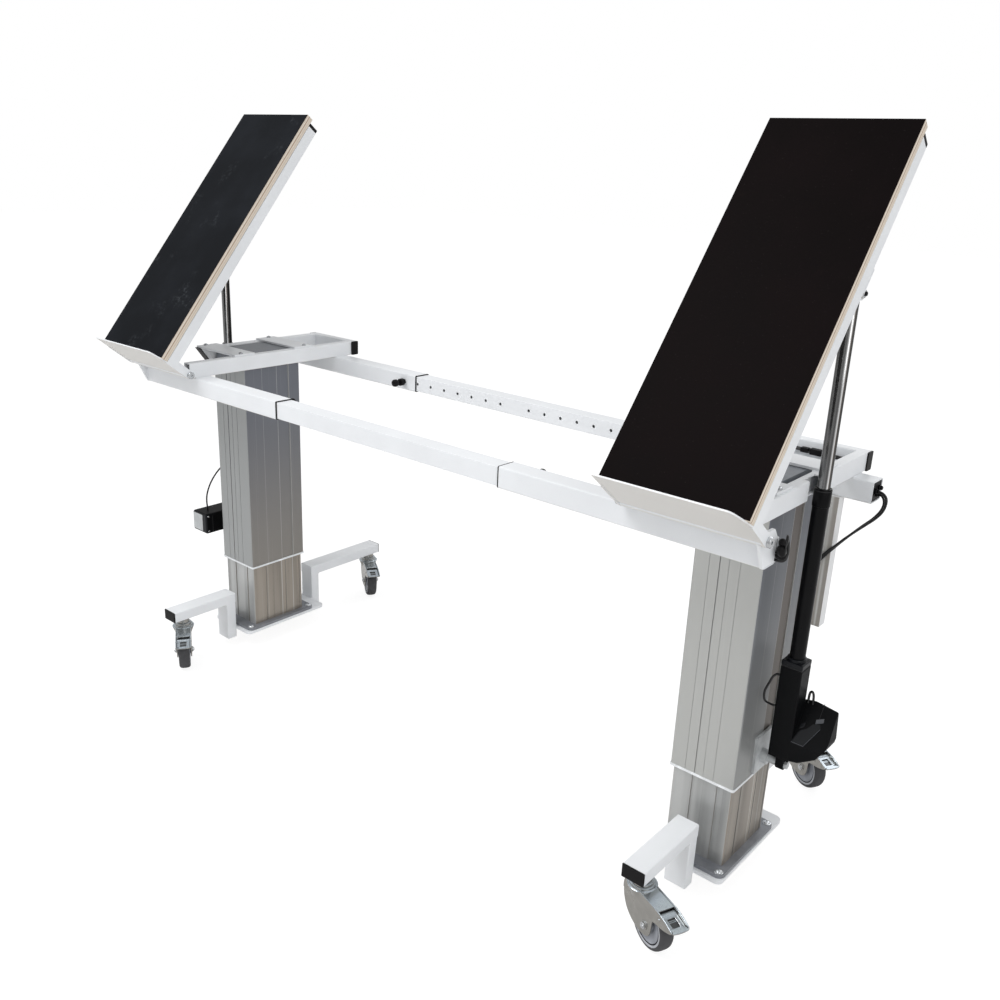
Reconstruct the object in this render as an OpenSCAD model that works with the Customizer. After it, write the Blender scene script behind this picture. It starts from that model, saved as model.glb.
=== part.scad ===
// Tilt-top adjustable table: two lifting columns, telescopic crossbars, two tilting boards.
// Millimetres. X runs along the crossbars, Y to the rear, Z up from the floor.

/* [Columns] */
// middle of the part's box from the middle between the columns, to the right
middle_x = 7.1; // [0:0.1:40]
// middle of the part's box from the middle between the columns, to the rear
middle_y = 41.34; // [0:0.01:80]
// distance of each column axis from the middle
col_x = 781; // [400:1:1000]
// width of the outer profile, along X
col_w = 144; // [100:1:200]
// depth of the outer profile, along Y
col_d = 188; // [140:1:260]
// wall of the profiles
col_wall = 4; // [2:0.5:8]
// inner corner radius of the profiles and tubes
core_r = 1; // [0.5:0.1:2]
// corner radius of the profiles
col_r = 5; // [1:0.5:12]
// bottom of the outer profile above the floor
col_bottom = 251; // [80:1:450]
// top of the outer profile and of the crossbars
deck_z = 842; // [600:1:1100]
// width of the inner profile
inner_w = 134; // [90:1:180]
// depth of the inner profile
inner_d = 176; // [120:1:240]
// top of the inner profile
inner_top = 624; // [400:1:800]
// main groove: distance from the face centre, width and depth
groove_x = 15; // [0:0.5:40]
// width of the main groove
groove_w = 2.4; // [1:0.1:6]
// depth of the main groove
groove_depth = 1.6; // [0.5:0.1:3]
// width of a fine line in the profile
line_w = 1.2; // [0.5:0.1:3]
// depth of a fine line in the profile
line_depth = 0.6; // [0.2:0.1:2]
// near edge of the side channel from the face centre
channel_near = 13; // [0:1:60]
// far edge of the side channel from the face centre
channel_far = 54; // [20:1:90]
// depth of the side channel
channel_depth = 1.8; // [0.5:0.1:3]
// height of the white glide ring
ring_h = 5; // [2:0.5:12]
// how far the glide ring stands out
ring_out = 1.5; // [0:0.1:5]
// running gap between glide ring and inner profile
ring_gap = 0.1; // [0.05:0.01:0.5]

/* [Lift drive] */
// outer radius of the drive tube
drive_r = 23; // [15:0.5:40]
// bore radius of the drive tube
drive_bore = 18.05; // [10:0.05:30]
// radius of the push rod
push_r = 18; // [10:0.5:28]
// lower end of the drive tube
drive_low = 330; // [200:1:500]
// top of the push rod
push_top = 620; // [400:1:638]
// half width of the head block
head_w = 62; // [40:1:65]
// half width of the head flange
head_flange = 65.5; // [50:0.5:65.5]
// height of the head flange
head_flange_h = 6; // [3:0.5:12]
// top of the head block
head_top = 881; // [850:1:881]

/* [Foot] */
// top of the base plate
base_top = 64; // [40:1:100]
// thickness of the base plate
base_t = 8; // [5:1:20]
// half width of the base plate
base_w = 83; // [60:1:110]
// half depth of the base plate
base_d = 119; // [90:1:150]
// corner radius of the base plate
base_r = 14; // [2:1:30]
// thickness of the steel plate below
sole_t = 8; // [4:1:15]
// how far the steel plate stands out
sole_out = 2; // [0:0.5:8]
// screw distance from the axis along X
base_screw_x = 71; // [50:1:78]
// screw distance from the axis along Y
base_screw_y = 108; // [80:1:112]
// screw shank radius
base_screw_r = 4; // [2:0.5:6]
// screw head radius
base_head_r = 7.5; // [5:0.5:12]
// screw head height
base_head_h = 4.5; // [2:0.5:8]
// width of the arm tube
arm_w = 50; // [30:1:80]
// height of the arm tube
arm_h = 30; // [20:1:60]
// wall of the arm tube
arm_wall = 3; // [1.5:0.5:5]
// outer corner radius of the white tubes
tube_r = 3; // [0.5:0.5:6]
// top of the arms
arm_top = 165; // [120:1:260]
// lower end of the upright tubes
upright_low = 24.5; // [10:0.5:60]
// front end of the front arm
arm_front = -327; // [-500:1:-250]
// rear face of the front upright
upright_front = -127; // [-200:1:-121]
// front face of the rear upright
upright_rear = 159.5; // [121:0.5:250]
// rear end of the rear arm
arm_rear = 448; // [300:1:600]
// thickness of the end cap flanges
cap_t = 3; // [1:0.5:6]
// depth of the end cap plugs
cap_plug = 14; // [5:1:30]
// gap around the end cap plugs
cap_gap = 0.1; // [0:0.05:0.5]

/* [Casters] */
// place of the front stems along Y
stem_front = -289; // [-350:1:-200]
// place of the rear stems along Y
stem_rear = 424; // [300:1:500]
// wheel radius
wheel_r = 52; // [35:0.5:80]
// wheel width
wheel_w = 30; // [20:1:50]
// radius of the grey wheel centre
rim_r = 43; // [25:0.5:70]
// trail of the fork
trail = 44; // [25:1:60]
// axle radius
axle_r = 5; // [3:0.5:8]
// running gap of the hub
hub_gap = 0.05; // [0.02:0.01:0.2]
// hub radius
hub_r = 12; // [8:0.5:20]
// inner half width of the fork
fork_in = 17.5; // [16:0.5:30]
// sheet thickness of the fork
fork_t = 3; // [1.5:0.5:5]
// crown radius of the fork
crown_r = 30; // [24:1:40]
// radius where the pressed shoulder ends
shoulder_r = 23; // [20:0.5:30]
// depth of the pressed shoulder
shoulder_h = 20; // [8:1:30]
// top of the fork crown
crown_top = 110; // [108:0.5:118]
// thickness of the fork crown
crown_t = 3; // [2:0.5:4]
// radius of the ball race
race_r = 25; // [18:0.5:30]
// height of the ball race
race_h = 5; // [3:0.5:8]
// radius of the swivel head
bearing_r = 18; // [12:0.5:30]
// gap between bearing and arm
bearing_gap = 0.4; // [0.2:0.1:2]
// kingpin radius
kingpin_r = 6; // [4:0.5:10]
// kingpin reach into the arm
kingpin_in = 9; // [4:1:20]
// running gap of the kingpin
kingpin_gap = 0.1; // [0.05:0.01:0.5]
// turn of the right front caster
turn_rf = -23.5; // [-180:0.5:180]
// turn of the right rear caster
turn_rr = -29.5; // [-180:0.5:180]
// turn of the left front caster
turn_lf = -33; // [-180:1:180]
// turn of the left rear caster
turn_lr = -33.5; // [-180:0.5:180]
// half width of the brake pedal
pedal_w = 16.9; // [10:0.1:17]
// pedal pin radius
pedal_pin_r = 3; // [2:0.5:5]

/* [Crossbars] */
// height of the outer crossbar tube
bar_h = 45; // [30:1:80]
// depth of the outer crossbar tube
bar_d = 50; // [30:1:80]
// inner face of both crossbars from the middle plane
bar_in = 211.5; // [150:0.5:300]
// wall of the crossbar tubes
bar_wall = 2; // [1.5:0.5:4]
// inner end of the outer tubes
bar_x0 = 354; // [200:1:500]
// outer end of the outer tubes
bar_x1 = 923; // [700:1:1000]
// gap between inner and outer tube
slide_gap = 0.5; // [0.2:0.1:2]
// half length of the inner tubes
slide_half = 604; // [450:1:700]
// thickness of the black collar
collar_t = 3; // [1:0.5:8]
// running gap of the black collar
collar_gap = 0.1; // [0.05:0.01:0.5]
// pitch of the index holes
index_pitch = 50; // [20:1:100]
// first index hole from the middle
index_first = 47; // [10:1:60]
// index holes on each side of the middle
index_count = 11; // [2:1:12]
// radius of the index holes
index_r = 4; // [2:0.1:6]

/* [Pull knobs] */
// place of the plungers along X
knob_x = 397; // [360:1:500]
// radius of the plunger pin
knob_pin_r = 3.5; // [2:0.1:5]
// running gap of the plunger pin
knob_gap = 0.1; // [0.05:0.01:0.3]
// radius of the plunger sleeve
sleeve_r = 10; // [6:0.5:15]
// length of the plunger sleeve
sleeve_l = 18; // [8:1:30]
// radius of the sleeve collar
sleeve_neck_r = 7; // [5:0.5:12]
// length of the sleeve collar
sleeve_neck_l = 5; // [2:0.5:10]
// gap between sleeve and knob
knob_lift = 8; // [7:0.5:12]
// knob radius
knob_r = 10; // [6:0.5:16]
// knob length
knob_l = 16; // [8:1:30]
// knob waist radius
knob_waist = 7; // [4:0.5:12]

/* [Top frame] */
// outer face of the outer side tube from the column axis
deck_out = 98.5; // [90:0.5:98.5]
// inner face of the inner side tube from the column axis
deck_in = 91; // [91:1:110]
// width of the white frame tubes
side_w = 25; // [20:1:26]
// height of a side tube
side_h = 40; // [20:1:60]
// wall of a side tube
side_wall = 3; // [1.5:0.5:5]
// front end of the side tubes
side_front = -275; // [-290:1:-266]
// rear end of the side tubes, where the rear cross tube starts
side_rear = 275; // [265:1:320]
// thickness of the cross strips
strip_t = 5; // [3:0.5:10]
// ends of the cross strips, set back from the side tubes
strip_back = 5; // [1:0.5:10]
// inner edge of the cross strips
strip_in = 68; // [40:1:90]
// outer edge of the cross strips
strip_out = 132; // [100:1:160]
// place of the strip bolts along Y
strip_bolt_y = 108; // [100:1:120]
// strip bolt head radius
strip_bolt_r = 6; // [4:0.5:9]
// strip bolt head height
strip_bolt_h = 4; // [2:0.5:8]
// strip bolt length below its head
strip_bolt_l = 20; // [10:1:30]
// front end of the short left side tube at its top
mitre_top = -132; // [-200:1:-132]
// front end of the short left side tube at its bottom
mitre_low = -102; // [-200:1:-90]
// notch in the right side tube: front end
notch_a = -5; // [-40:1:0]
// notch in the right side tube: rear end
notch_b = 45; // [30:1:66]
// depth of the notch
notch_depth = 13; // [4:1:20]
// depth of the weld seams
weld = 0.2; // [0.1:0.1:1]

/* [Tilt boards] */
// tilt of the boards in the built pose
tilt = 51.25; // [0:0.25:60]
// hinge axis along Y
hinge_y = -277.5; // [-320:0.5:-240]
// hinge axis height
hinge_z = 852.7; // [820:0.1:900]
// outer edge of the right board
board_x1 = 934; // [800:1:1000]
// board width
board_w = 284; // [200:1:400]
// extra outward place of the left tilt unit
left_shift = 35; // [0:1:60]
// board length
board_l = 769; // [500:1:1000]
// board thickness
board_t = 20; // [12:1:30]
// height of the board face above the hinge axis
face_h = 96.3; // [80:0.1:140]
// lower board edge behind the hinge axis, along the board
board_low = -6.2; // [-30:0.1:30]
// rail width
rail_w = 25; // [15:1:50]
// rail depth
rail_d = 30; // [15:1:50]
// rail wall
rail_wall = 2; // [1:0.5:4]
// length of a rail cap past the end of its rail
rail_cap_t = 10; // [2:1:14]
// upper end of the rails
rail_top = 742; // [500:1:900]
// lever thickness
lever_t = 5; // [3:0.5:10]
// half width of the lever
lever_h = 10.5; // [8:0.5:20]
// lip sheet thickness
lip_t = 3; // [1.5:0.5:6]
// lip reach above the board face
lip_up = 22; // [10:1:40]
// lip reach below the board face
lip_down = 84; // [60:1:84]
// lower cross tube of the board frame: start along the board
brace_a = 60; // [20:1:200]
// upper cross tube of the board frame: start along the board
brace_b = 600; // [520:1:700]
// radius of the hinge tube
hinge_r = 10; // [8:0.5:14]
// hinge bolt radius
bolt_r = 6; // [4:0.5:8]
// running gap of the hinge bolt
bolt_gap = 0.1; // [0.05:0.01:0.3]
// hinge bolt head radius
bolt_head_r = 9.5; // [7:0.5:14]
// hinge bolt head height
bolt_head_h = 6; // [3:0.5:10]
// hinge bolt length in the tube
bolt_in = 30; // [10:1:60]
// gap beside the levers
lever_gap = 0.3; // [0.2:0.05:1]
// ear at the crossbar end, inner face
ear_x = 918; // [890:1:922]
// ear thickness
ear_t = 6; // [3:0.5:10]

/* [Actuators] */
// actuator axis along X on the right
act_x = 899.5; // [899:0.5:905]
// actuator axis along Y
act_y = 12; // [-20:0.5:40]
// lower pin height
pin_z = 286; // [250:1:340]
// upper pivot height
eye_z = 1223; // [1100:1:1300]
// half size of the gear housing
gear_w = 22; // [15:1:30]
// bottom of the gear housing
gear_low = 306; // [290:1:320]
// top of the gear housing
gear_top = 520; // [450:1:560]
// corner radius of the housings
gear_r = 3; // [1:0.5:8]
// outer tube radius
guide_r = 15.2; // [12:0.1:18]
// collar radius
guide_collar_r = 16.4; // [13:0.1:18]
// lower end of the collar
guide_collar_low = 836; // [780:1:850]
// top of the outer tube
guide_top = 871; // [800:1:900]
// bottom of the bore
guide_bore_low = 455; // [400:1:500]
// rod radius
rod_r = 12; // [6:0.5:12]
// running gap of the rod
rod_gap = 0.1; // [0.05:0.01:0.3]
// lower end of the rod
rod_low = 800; // [760:1:840]
// eye radius
eye_r = 12; // [9:0.5:16]
// half thickness of the eyes
eye_t = 8; // [5:0.5:12]
// pin radius
pin_r = 6; // [4:0.5:8]
// ring under the outer tube: radius
foot_ring_r = 19; // [16:0.5:22]
// ring under the outer tube: height
foot_ring_h = 6; // [2:0.5:12]
// motor depth of the right actuator, front and rear
motor_front = -9.4; // [-20:1:10]
// rear face of the right motor
motor_rear = 44; // [20:1:60]
// half width of the left motor
motor_half = 34; // [15:1:36]
// front face of the left motor
motor_reach = -118; // [-150:1:-60]
// bottom of the left motor
motor_low = 309; // [240:1:360]
// top of the left motor
motor_top = 371; // [370:1:420]
// lower bracket: front edge
bracket_a = -20; // [-60:1:0]
// lower bracket: rear edge
bracket_b = 50; // [20:1:80]
// lower bracket: bottom
bracket_low = 254; // [252:1:270]
// lower bracket: top
bracket_high = 338; // [300:1:380]
// lower bracket thickness
bracket_t = 6; // [3:0.5:10]
// boss radius
boss_r = 15; // [8:0.5:20]
// boss reach from the bracket
boss_l = 13; // [5:0.5:15]
// spacer radius beside the eye
spacer_r = 9; // [7:0.5:10]
// nut radius
nut_r = 9; // [7:0.5:12]
// nut height
nut_h = 6; // [3:0.5:10]
// half gap between the upper ears
ear_gap = 12.3; // [12.3:0.1:13]
// thickness of the upper ears
clevis_t = 3.5; // [3:0.5:4]
// half length of the upper bracket plate
clevis_half = 24; // [12:1:40]

/* [Holder and cables] */
// left edge of the holder
holder_x0 = 772; // [700:1:820]
// right edge of the holder
holder_x1 = 862; // [830:1:880]
// front face of the holder
holder_y = 205; // [195:1:210]
// depth of the holder
holder_d = 28; // [10:1:50]
// bottom of the holder
holder_low = 508; // [400:1:600]
// sheet thickness of the holder
holder_t = 2; // [1:0.5:4]
// radius of the thin cables
cable_r = 2.6; // [1.5:0.1:4]
// radius of the motor cable
motor_cable_r = 2.4; // [1.5:0.1:4]

/* [Hidden] */
fine = 48;
coarse = 24;
wheel_sides = 72;
corner = 16;
cord_sides = 8;
near = 0.01;
axis_along = deck_z - bar_h / 2;
// strip bolts, over the middle of each side tube
bolt_places = [col_x - deck_in + side_w / 2, col_x + deck_out - side_w / 2];
// side plate of a caster fork: distance along the trail, height
fork_side = [[-26, 110], [92, 110], [111, 104.5], [126, 99], [121, 92.5], [97, 83], [80, 82], [68, 80],
    [65, 74],
    [65, 46], [58, 34], [44, 29], [22, 28], [4, 33], [-14, 43], [-26, 60], [-31, 80], [-31, 96]];
// end of the top web along the trail
web_end = 79;
// brake pedal, side view
pedal_side = [[81, 100], [84, 102.5], [92, 102.5], [116, 97], [127, 98.6], [127, 95.4], [116, 94], [92,
    98], [89, 93],
    [84, 91.5], [81, 94]];
// flared lip of the pedal, seen from above
pedal_lip = [[126.6, -19.5], [129, -15], [130.5, -8], [131, 0], [130.5, 8], [129, 15], [126.6, 19.5]];
pedal_lip_z = [95.5, 98.5];
pedal_pin = [86, 97];
// window in the pedal: from, to, along the trail
pedal_window = [94, 114];
pedal_window_half = 9;
// corner cut of the lip, from its right end: along X, in front of the face
lip_cut = [[-31, 22], [-25, 20.5], [-20, 16], [-15, 9], [-10, 1], [-5, -8], [0, -18]];
// end ear of the crossbar: Y, Z
ear_shape = [[-286, 846], [-262, 797], [-222, 797], [-222, 846], [-234, 861], [-278, 862]];
// right motor, front view: distance from the actuator axis, height
motor_shape = [[18, 310], [40, 313], [73, 335], [88, 360], [90, 370], [87, 425], [40, 432], [18, 428]];
// what the motor's sloping front leaves out: Y, Z
motor_slope = [[-40, 307.6], [60, 455.6], [-40, 455.6]];
// grooves of the inner profile: place, width
inner_front = [[-19, 6], [37, 6]];
inner_side = [[-45, 5], [26, 4], [77, 5]];
fine_lines = [-37, 4, 27];
// cable from the crossbar end to the holder
route_a = [[900, 240, 812], [918, 240, 813], [931, 239, 812], [939, 236, 804], [940, 233, 791], [935,
    230, 774],
    [922, 227, 750], [906, 224, 727], [890, 221, 706], [876, 219, 688], [869, 218.2, 680], [866, 218, 678.3],
    [864, 218, 678], [holder_x1, 218, 678]];
route_b = [[900, 231, 818], [920, 231, 820], [936, 230, 819], [945, 228, 810], [946, 225, 795], [940,
    222, 777],
    [927, 219, 752], [911, 216, 729], [895, 214, 709], [879, 212, 692], [870, 211.2, 686], [866, 211, 684.3],
    [864, 211, 684], [holder_x1, 211, 684]];
// knot of cable at the front crossbar end
route_knot = [[905, -217.6, 816], [924, -217.6, 817], [932, -217, 824], [937, -216, 832], [937, -211,
    838], [935, -204, 834],
    [934, -207, 824], [938, -215, 818], [942, -224, 822], [943, -228, 832], [941, -221, 841], [937, -211,
        846],
    [934, -203, 840], [936, -201, 828], [940, -209, 814], [939, -216, 805], [928, -217.6, 801.9], [905,
        -217.6, 801.9]];
// bundle on the rear cross tube
route_bundle = [[726, 272, 862], [740, 272, 862], [764, 272, 863.5], [788, 272, 862], [812, 272, 861],
    [836, 272, 860]];
route_bundle_b = [[726, 266.5, 861], [740, 266.5, 860.5], [764, 266.5, 858.5], [788, 266.5, 858.5], [812,
    266.5, 859],
    [836, 266.5, 858]];
// cable loop beside the right housing
route_loop = [[877.5, -8, 486], [872, -9, 485], [867.5, -14, 480], [866, -22, 472], [865.5, -36, 462],
    [865.5, -40.5, 452], [866, -36, 438], [867, -25, 428], [871, -13, 420], [874, -9, 417.5], [877.5, -8,
        417]];
route_motor = [[925, 38, 426.4], [925, 38, 436], [926, 38, 446], [929.5, 38, 450], [933, 38, 446],
    [934.5, 38, 436],
    [934.5, 38, 426.4]];
// cable of the left motor
route_left = [[-934.5, -88, motor_top], [-934.5, -88.5, 378], [-934.5, -90, 398], [-934.5, -88, 420],
    [-934.5, -78, 446],
    [-934.5, -62, 470], [-934.5, -42, 490], [-934.5, -24, 501], [-934.5, -15, 503], [-934.5,
        act_y - gear_w, 503]];

function side_x(s) = s * col_x;
function shift(s) = s > 0 ? 0 : left_shift;

// rounded rectangle, corner at the origin
module rounded(w, h, r) {
    translate([r, r]) offset(r = r, $fn = corner) square([w - 2 * r, h - 2 * r]);
}

module bar_x(x0, x1, y0, y1, z0, z1, r) {
    plate_x(x0, x1) translate([y0, z0]) rounded(y1 - y0, z1 - z0, r);
}

module bar_y(x0, x1, y0, y1, z0, z1, r) {
    translate([0, y1, 0]) rotate([90, 0, 0]) linear_extrude(y1 - y0) translate([x0, z0]) rounded(x1 - x0,
        z1 - z0, r);
}

module bar_z(x0, x1, y0, y1, z0, z1, r) {
    translate([x0, y0, z0]) linear_extrude(z1 - z0) rounded(x1 - x0, y1 - y0, r);
}

module box(x0, x1, y0, y1, z0, z1) {
    translate([x0, y0, z0]) cube([x1 - x0, y1 - y0, z1 - z0]);
}

module rod_x(x0, x1, y, z, r, n = fine) {
    translate([x0, y, z]) rotate([0, 90, 0]) cylinder(h = x1 - x0, r = r, $fn = n);
}

module rod_y(x, y0, y1, z, r, n = coarse) {
    translate([x, y0, z]) rotate([-90, 0, 0]) cylinder(h = y1 - y0, r = r, $fn = n);
}

// the same with its ends given outward from the middle plane, on side a
module rod_out(a, x, y0, y1, z, r, n = coarse) {
    rod_y(x, min(a * y0, a * y1), max(a * y0, a * y1), z, r, n);
}

// shape drawn in the Y-Z plane, from x0 to x1
module plate_x(x0, x1) {
    translate([x0, 0, 0]) rotate([90, 0, 90]) linear_extrude(x1 - x0) children();
}

module mirror_left(s) {
    if (s > 0) {
        children();
    } else {
        mirror([1, 0, 0]) children();
    }
}

// ---- foot ----

module foot(s) {
    cx = side_x(s);
    low = base_top - base_t - sole_t;
    a = cx - arm_w / 2;
    b = cx + arm_w / 2;
    difference() {
        union() {
            bar_y(a, b, arm_front, upright_front - near, arm_top - arm_h, arm_top, tube_r);
            bar_y(a, b, upright_rear + near, arm_rear, arm_top - arm_h, arm_top, tube_r);
            bar_z(a, b, upright_front - arm_h, upright_front, upright_low, arm_top - tube_r, tube_r);
            bar_z(a, b, upright_rear, upright_rear + arm_h, upright_low, arm_top - tube_r, tube_r);
            bar_z(cx - base_w - sole_out, cx + base_w + sole_out, upright_front - near, upright_rear + near,
                low, low + sole_t, base_r);
        }
        foot_hollows(cx);
        for (a = [-1, 1]) {
            for (b = [-1, 1]) {
                translate([cx + a * base_screw_x, b * base_screw_y, low - sole_t])
                    cylinder(h = 3 * sole_t, r = base_screw_r, $fn = coarse);
            }
        }
        for (y = [stem_front, stem_rear]) {
            translate([cx, y, arm_top - arm_h - arm_wall]) cylinder(h = 3 * arm_wall,
                r = kingpin_r + kingpin_gap, $fn = fine);
        }
    }
}

module foot_hollows(cx) {
    half = arm_w / 2 - arm_wall;
    lo = arm_top - arm_h + arm_wall;
    hi = arm_top - arm_wall;
    box(cx - half, cx + half, arm_front - arm_wall, upright_front - arm_wall, lo, hi);
    box(cx - half, cx + half, upright_front - arm_h + arm_wall, upright_front - arm_wall,
        upright_low + arm_wall, hi);
    box(cx - half, cx + half, upright_rear + arm_wall, arm_rear + arm_wall, lo, hi);
    box(cx - half, cx + half, upright_rear + arm_wall, upright_rear + arm_h - arm_wall,
        upright_low + arm_wall, hi);
}

module foot_caps(s) {
    cx = side_x(s);
    half = arm_w / 2 - arm_wall - cap_gap;
    lo = arm_top - arm_h + arm_wall + cap_gap;
    hi = arm_top - arm_wall - cap_gap;
    union() {
        bar_y(cx - arm_w / 2, cx + arm_w / 2, arm_front - cap_t, arm_front, arm_top - arm_h, arm_top, tube_r);
        box(cx - half, cx + half, arm_front - near, arm_front + cap_plug, lo, hi);
    }
    union() {
        bar_y(cx - arm_w / 2, cx + arm_w / 2, arm_rear, arm_rear + cap_t, arm_top - arm_h, arm_top, tube_r);
        box(cx - half, cx + half, arm_rear - cap_plug, arm_rear + near, lo, hi);
    }
}

module base_plate(s) {
    cx = side_x(s);
    difference() {
        bar_z(cx - base_w, cx + base_w, -base_d, base_d, base_top - base_t, base_top, base_r);
        for (a = [-1, 1]) {
            for (b = [-1, 1]) {
                translate([cx + a * base_screw_x, b * base_screw_y, base_top - 2 * base_t])
                    cylinder(h = 3 * base_t, r = base_screw_r, $fn = coarse);
            }
        }
    }
}

module base_screws(s) {
    low = base_top - base_t - sole_t;
    for (a = [-1, 1]) {
        for (b = [-1, 1]) {
            translate([side_x(s) + a * base_screw_x, b * base_screw_y, low]) difference() {
                union() {
                    cylinder(h = base_t + sole_t, r = base_screw_r, $fn = coarse);
                    translate([0, 0, base_t + sole_t])
                        cylinder(h = base_head_h, r1 = base_head_r, r2 = base_head_r - line_w, $fn = coarse);
                }
                translate([0, 0, base_t + sole_t + base_head_h / 2]) cylinder(h = base_head_h,
                    r = base_screw_r, $fn = 6);
            }
        }
    }
}

// closed profile with its grooves, centred
module outer_profile() {
    difference() {
        translate([-col_w / 2, -col_d / 2]) rounded(col_w, col_d, col_r);
        translate([-col_w / 2 + col_wall, -col_d / 2 + col_wall])
            rounded(col_w - 2 * col_wall, col_d - 2 * col_wall, core_r);
        for (a = [0, 180]) {
            rotate([0, 0, a]) outer_grooves();
        }
    }
}

module outer_grooves() {
    translate([-groove_x - groove_w / 2, -col_d / 2 - line_depth]) square([groove_w,
        groove_depth + line_depth]);
    for (x = fine_lines) {
        translate([x - line_w / 2, -col_d / 2 - line_depth]) square([line_w, 2 * line_depth]);
    }
    translate([col_w / 2 - channel_depth, channel_near]) square([2 * channel_depth,
        channel_far - channel_near]);
}

module inner_profile() {
    difference() {
        translate([-inner_w / 2, -inner_d / 2]) rounded(inner_w, inner_d, col_r);
        translate([-inner_w / 2 + col_wall, -inner_d / 2 + col_wall])
            rounded(inner_w - 2 * col_wall, inner_d - 2 * col_wall, core_r);
        for (a = [0, 180]) {
            rotate([0, 0, a]) inner_grooves();
        }
    }
}

module inner_grooves() {
    for (g = inner_front) {
        translate([g[0] - g[1] / 2, -inner_d / 2 - line_depth]) square([g[1], groove_depth + line_depth]);
    }
    for (g = inner_side) {
        translate([inner_w / 2 - groove_depth, g[0] - g[1] / 2]) square([2 * groove_depth, g[1]]);
    }
}

module inner_column(s) {
    translate([side_x(s), 0, base_top]) linear_extrude(inner_top - base_top) inner_profile();
}

module push_rod(s) {
    translate([side_x(s), 0, base_top]) cylinder(h = push_top - base_top, r = push_r, $fn = fine);
}

// ---- casters, drawn with the stem on the Z axis and the trail along +X ----

module place_caster(s, y, turn) {
    translate([side_x(s), y, 0]) rotate([0, 0, turn]) children();
}

module side_plate(points, y0, y1) {
    translate([0, y1, 0]) rotate([90, 0, 0]) linear_extrude(y1 - y0) polygon(points);
}

module fork() {
    head = arm_top - arm_h - bearing_gap;
    difference() {
        union() {
            side_plate(fork_side, fork_in, fork_in + fork_t);
            side_plate(fork_side, -fork_in - fork_t, -fork_in);
            box(fork_side[0][0], web_end, -fork_in - near, fork_in + near, crown_top - crown_t,
                crown_top - near);
            difference() {
                union() {
                    translate([0, 0, crown_top - crown_t]) cylinder(h = crown_t, r = crown_r, $fn = fine);
                    translate([0, 0, crown_top - crown_t - shoulder_h])
                        cylinder(h = shoulder_h + near, r1 = shoulder_r, r2 = crown_r, $fn = fine);
                }
                box(-2 * crown_r, 2 * crown_r, -fork_in, fork_in, 0, crown_top - crown_t);
            }
            translate([0, 0, crown_top - near]) cylinder(h = race_h, r = race_r, $fn = fine);
            translate([0, 0, crown_top + race_h - 2 * near])
                cylinder(h = head - crown_top - race_h + 2 * near, r = bearing_r, $fn = fine);
            translate([0, 0, crown_top])
                cylinder(h = arm_top - arm_h + kingpin_in - crown_top, r = kingpin_r, $fn = fine);
            rod_y(trail, -fork_in - fork_t - nut_h / 2, fork_in + fork_t + nut_h / 2, wheel_r, axle_r, fine);
            for (a = [-1, 1]) {
                translate([trail, a * (fork_in + fork_t + nut_h / 4), wheel_r]) rotate([90, 0, 0])
                    cylinder(h = nut_h / 2, r = axle_r + fork_t, $fn = 6, center = true);
            }
        }
        rod_y(pedal_pin[0], -2 * fork_in, 2 * fork_in, pedal_pin[1], pedal_pin_r + kingpin_gap, fine);
    }
}

module wheel() {
    translate([trail, 0, wheel_r]) rotate([90, 0, 0]) difference() {
        rotate_extrude($fn = wheel_sides) wheel_section();
        translate([0, 0, -wheel_w]) cylinder(h = 2 * wheel_w, r = axle_r + hub_gap, $fn = fine);
    }
}

module wheel_section() {
    w = wheel_w / 2;
    r = wheel_r;
    dish = w / 3;
    side = fork_in - lever_gap;
    core = axle_r - 2 * near;
    polygon([[core, -side], [hub_r, -side], [hub_r, dish - w], [rim_r - dish, dish - w], [rim_r, -w],
        [r - dish / 2, -w],
        [r - dish / 8, -w + dish / 2], [r, -w + dish], [r, w - dish], [r - dish / 8, w - dish / 2],
            [r - dish / 2, w],
        [rim_r, w], [rim_r - dish, w - dish], [hub_r, w - dish], [hub_r, side], [core, side]]);
}

module pedal() {
    difference() {
        union() {
            side_plate(pedal_side, -pedal_w, pedal_w);
            translate([0, 0, pedal_lip_z[0]]) linear_extrude(pedal_lip_z[1] - pedal_lip_z[0]) polygon(pedal_lip);
            rod_y(pedal_pin[0], -fork_in - fork_t, fork_in + fork_t, pedal_pin[1], pedal_pin_r, fine);
        }
        box(pedal_window[0], pedal_window[1], -pedal_window_half, pedal_window_half, wheel_r, 2 * crown_top);
    }
}

// ---- upper frames ----

module outer_column(s) {
    translate([side_x(s), 0, col_bottom]) linear_extrude(deck_z - col_bottom) outer_profile();
}

module glide_ring(s) {
    translate([side_x(s), 0, col_bottom - ring_h]) linear_extrude(ring_h) difference() {
        translate([-col_w / 2 - ring_out, -col_d / 2 - ring_out]) rounded(col_w + 2 * ring_out,
            col_d + 2 * ring_out, col_r);
        translate([-inner_w / 2 - ring_gap, -inner_d / 2 - ring_gap])
            rounded(inner_w + 2 * ring_gap, inner_d + 2 * ring_gap, col_r);
    }
}

module lift_drive(s) {
    cx = side_x(s);
    difference() {
        union() {
            bar_z(cx - head_flange, cx + head_flange, -col_d / 2, col_d / 2, deck_z,
                deck_z + head_flange_h, col_r);
            bar_z(cx - head_w, cx + head_w, -col_d / 2, col_d / 2, deck_z + head_flange_h - near,
                head_top, col_r);
            translate([cx, 0, drive_low]) cylinder(h = deck_z - drive_low + near, r = drive_r, $fn = fine);
        }
        translate([cx, 0, drive_low - drive_r]) cylinder(h = deck_z - drive_low, r = drive_bore, $fn = fine);
    }
}

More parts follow.
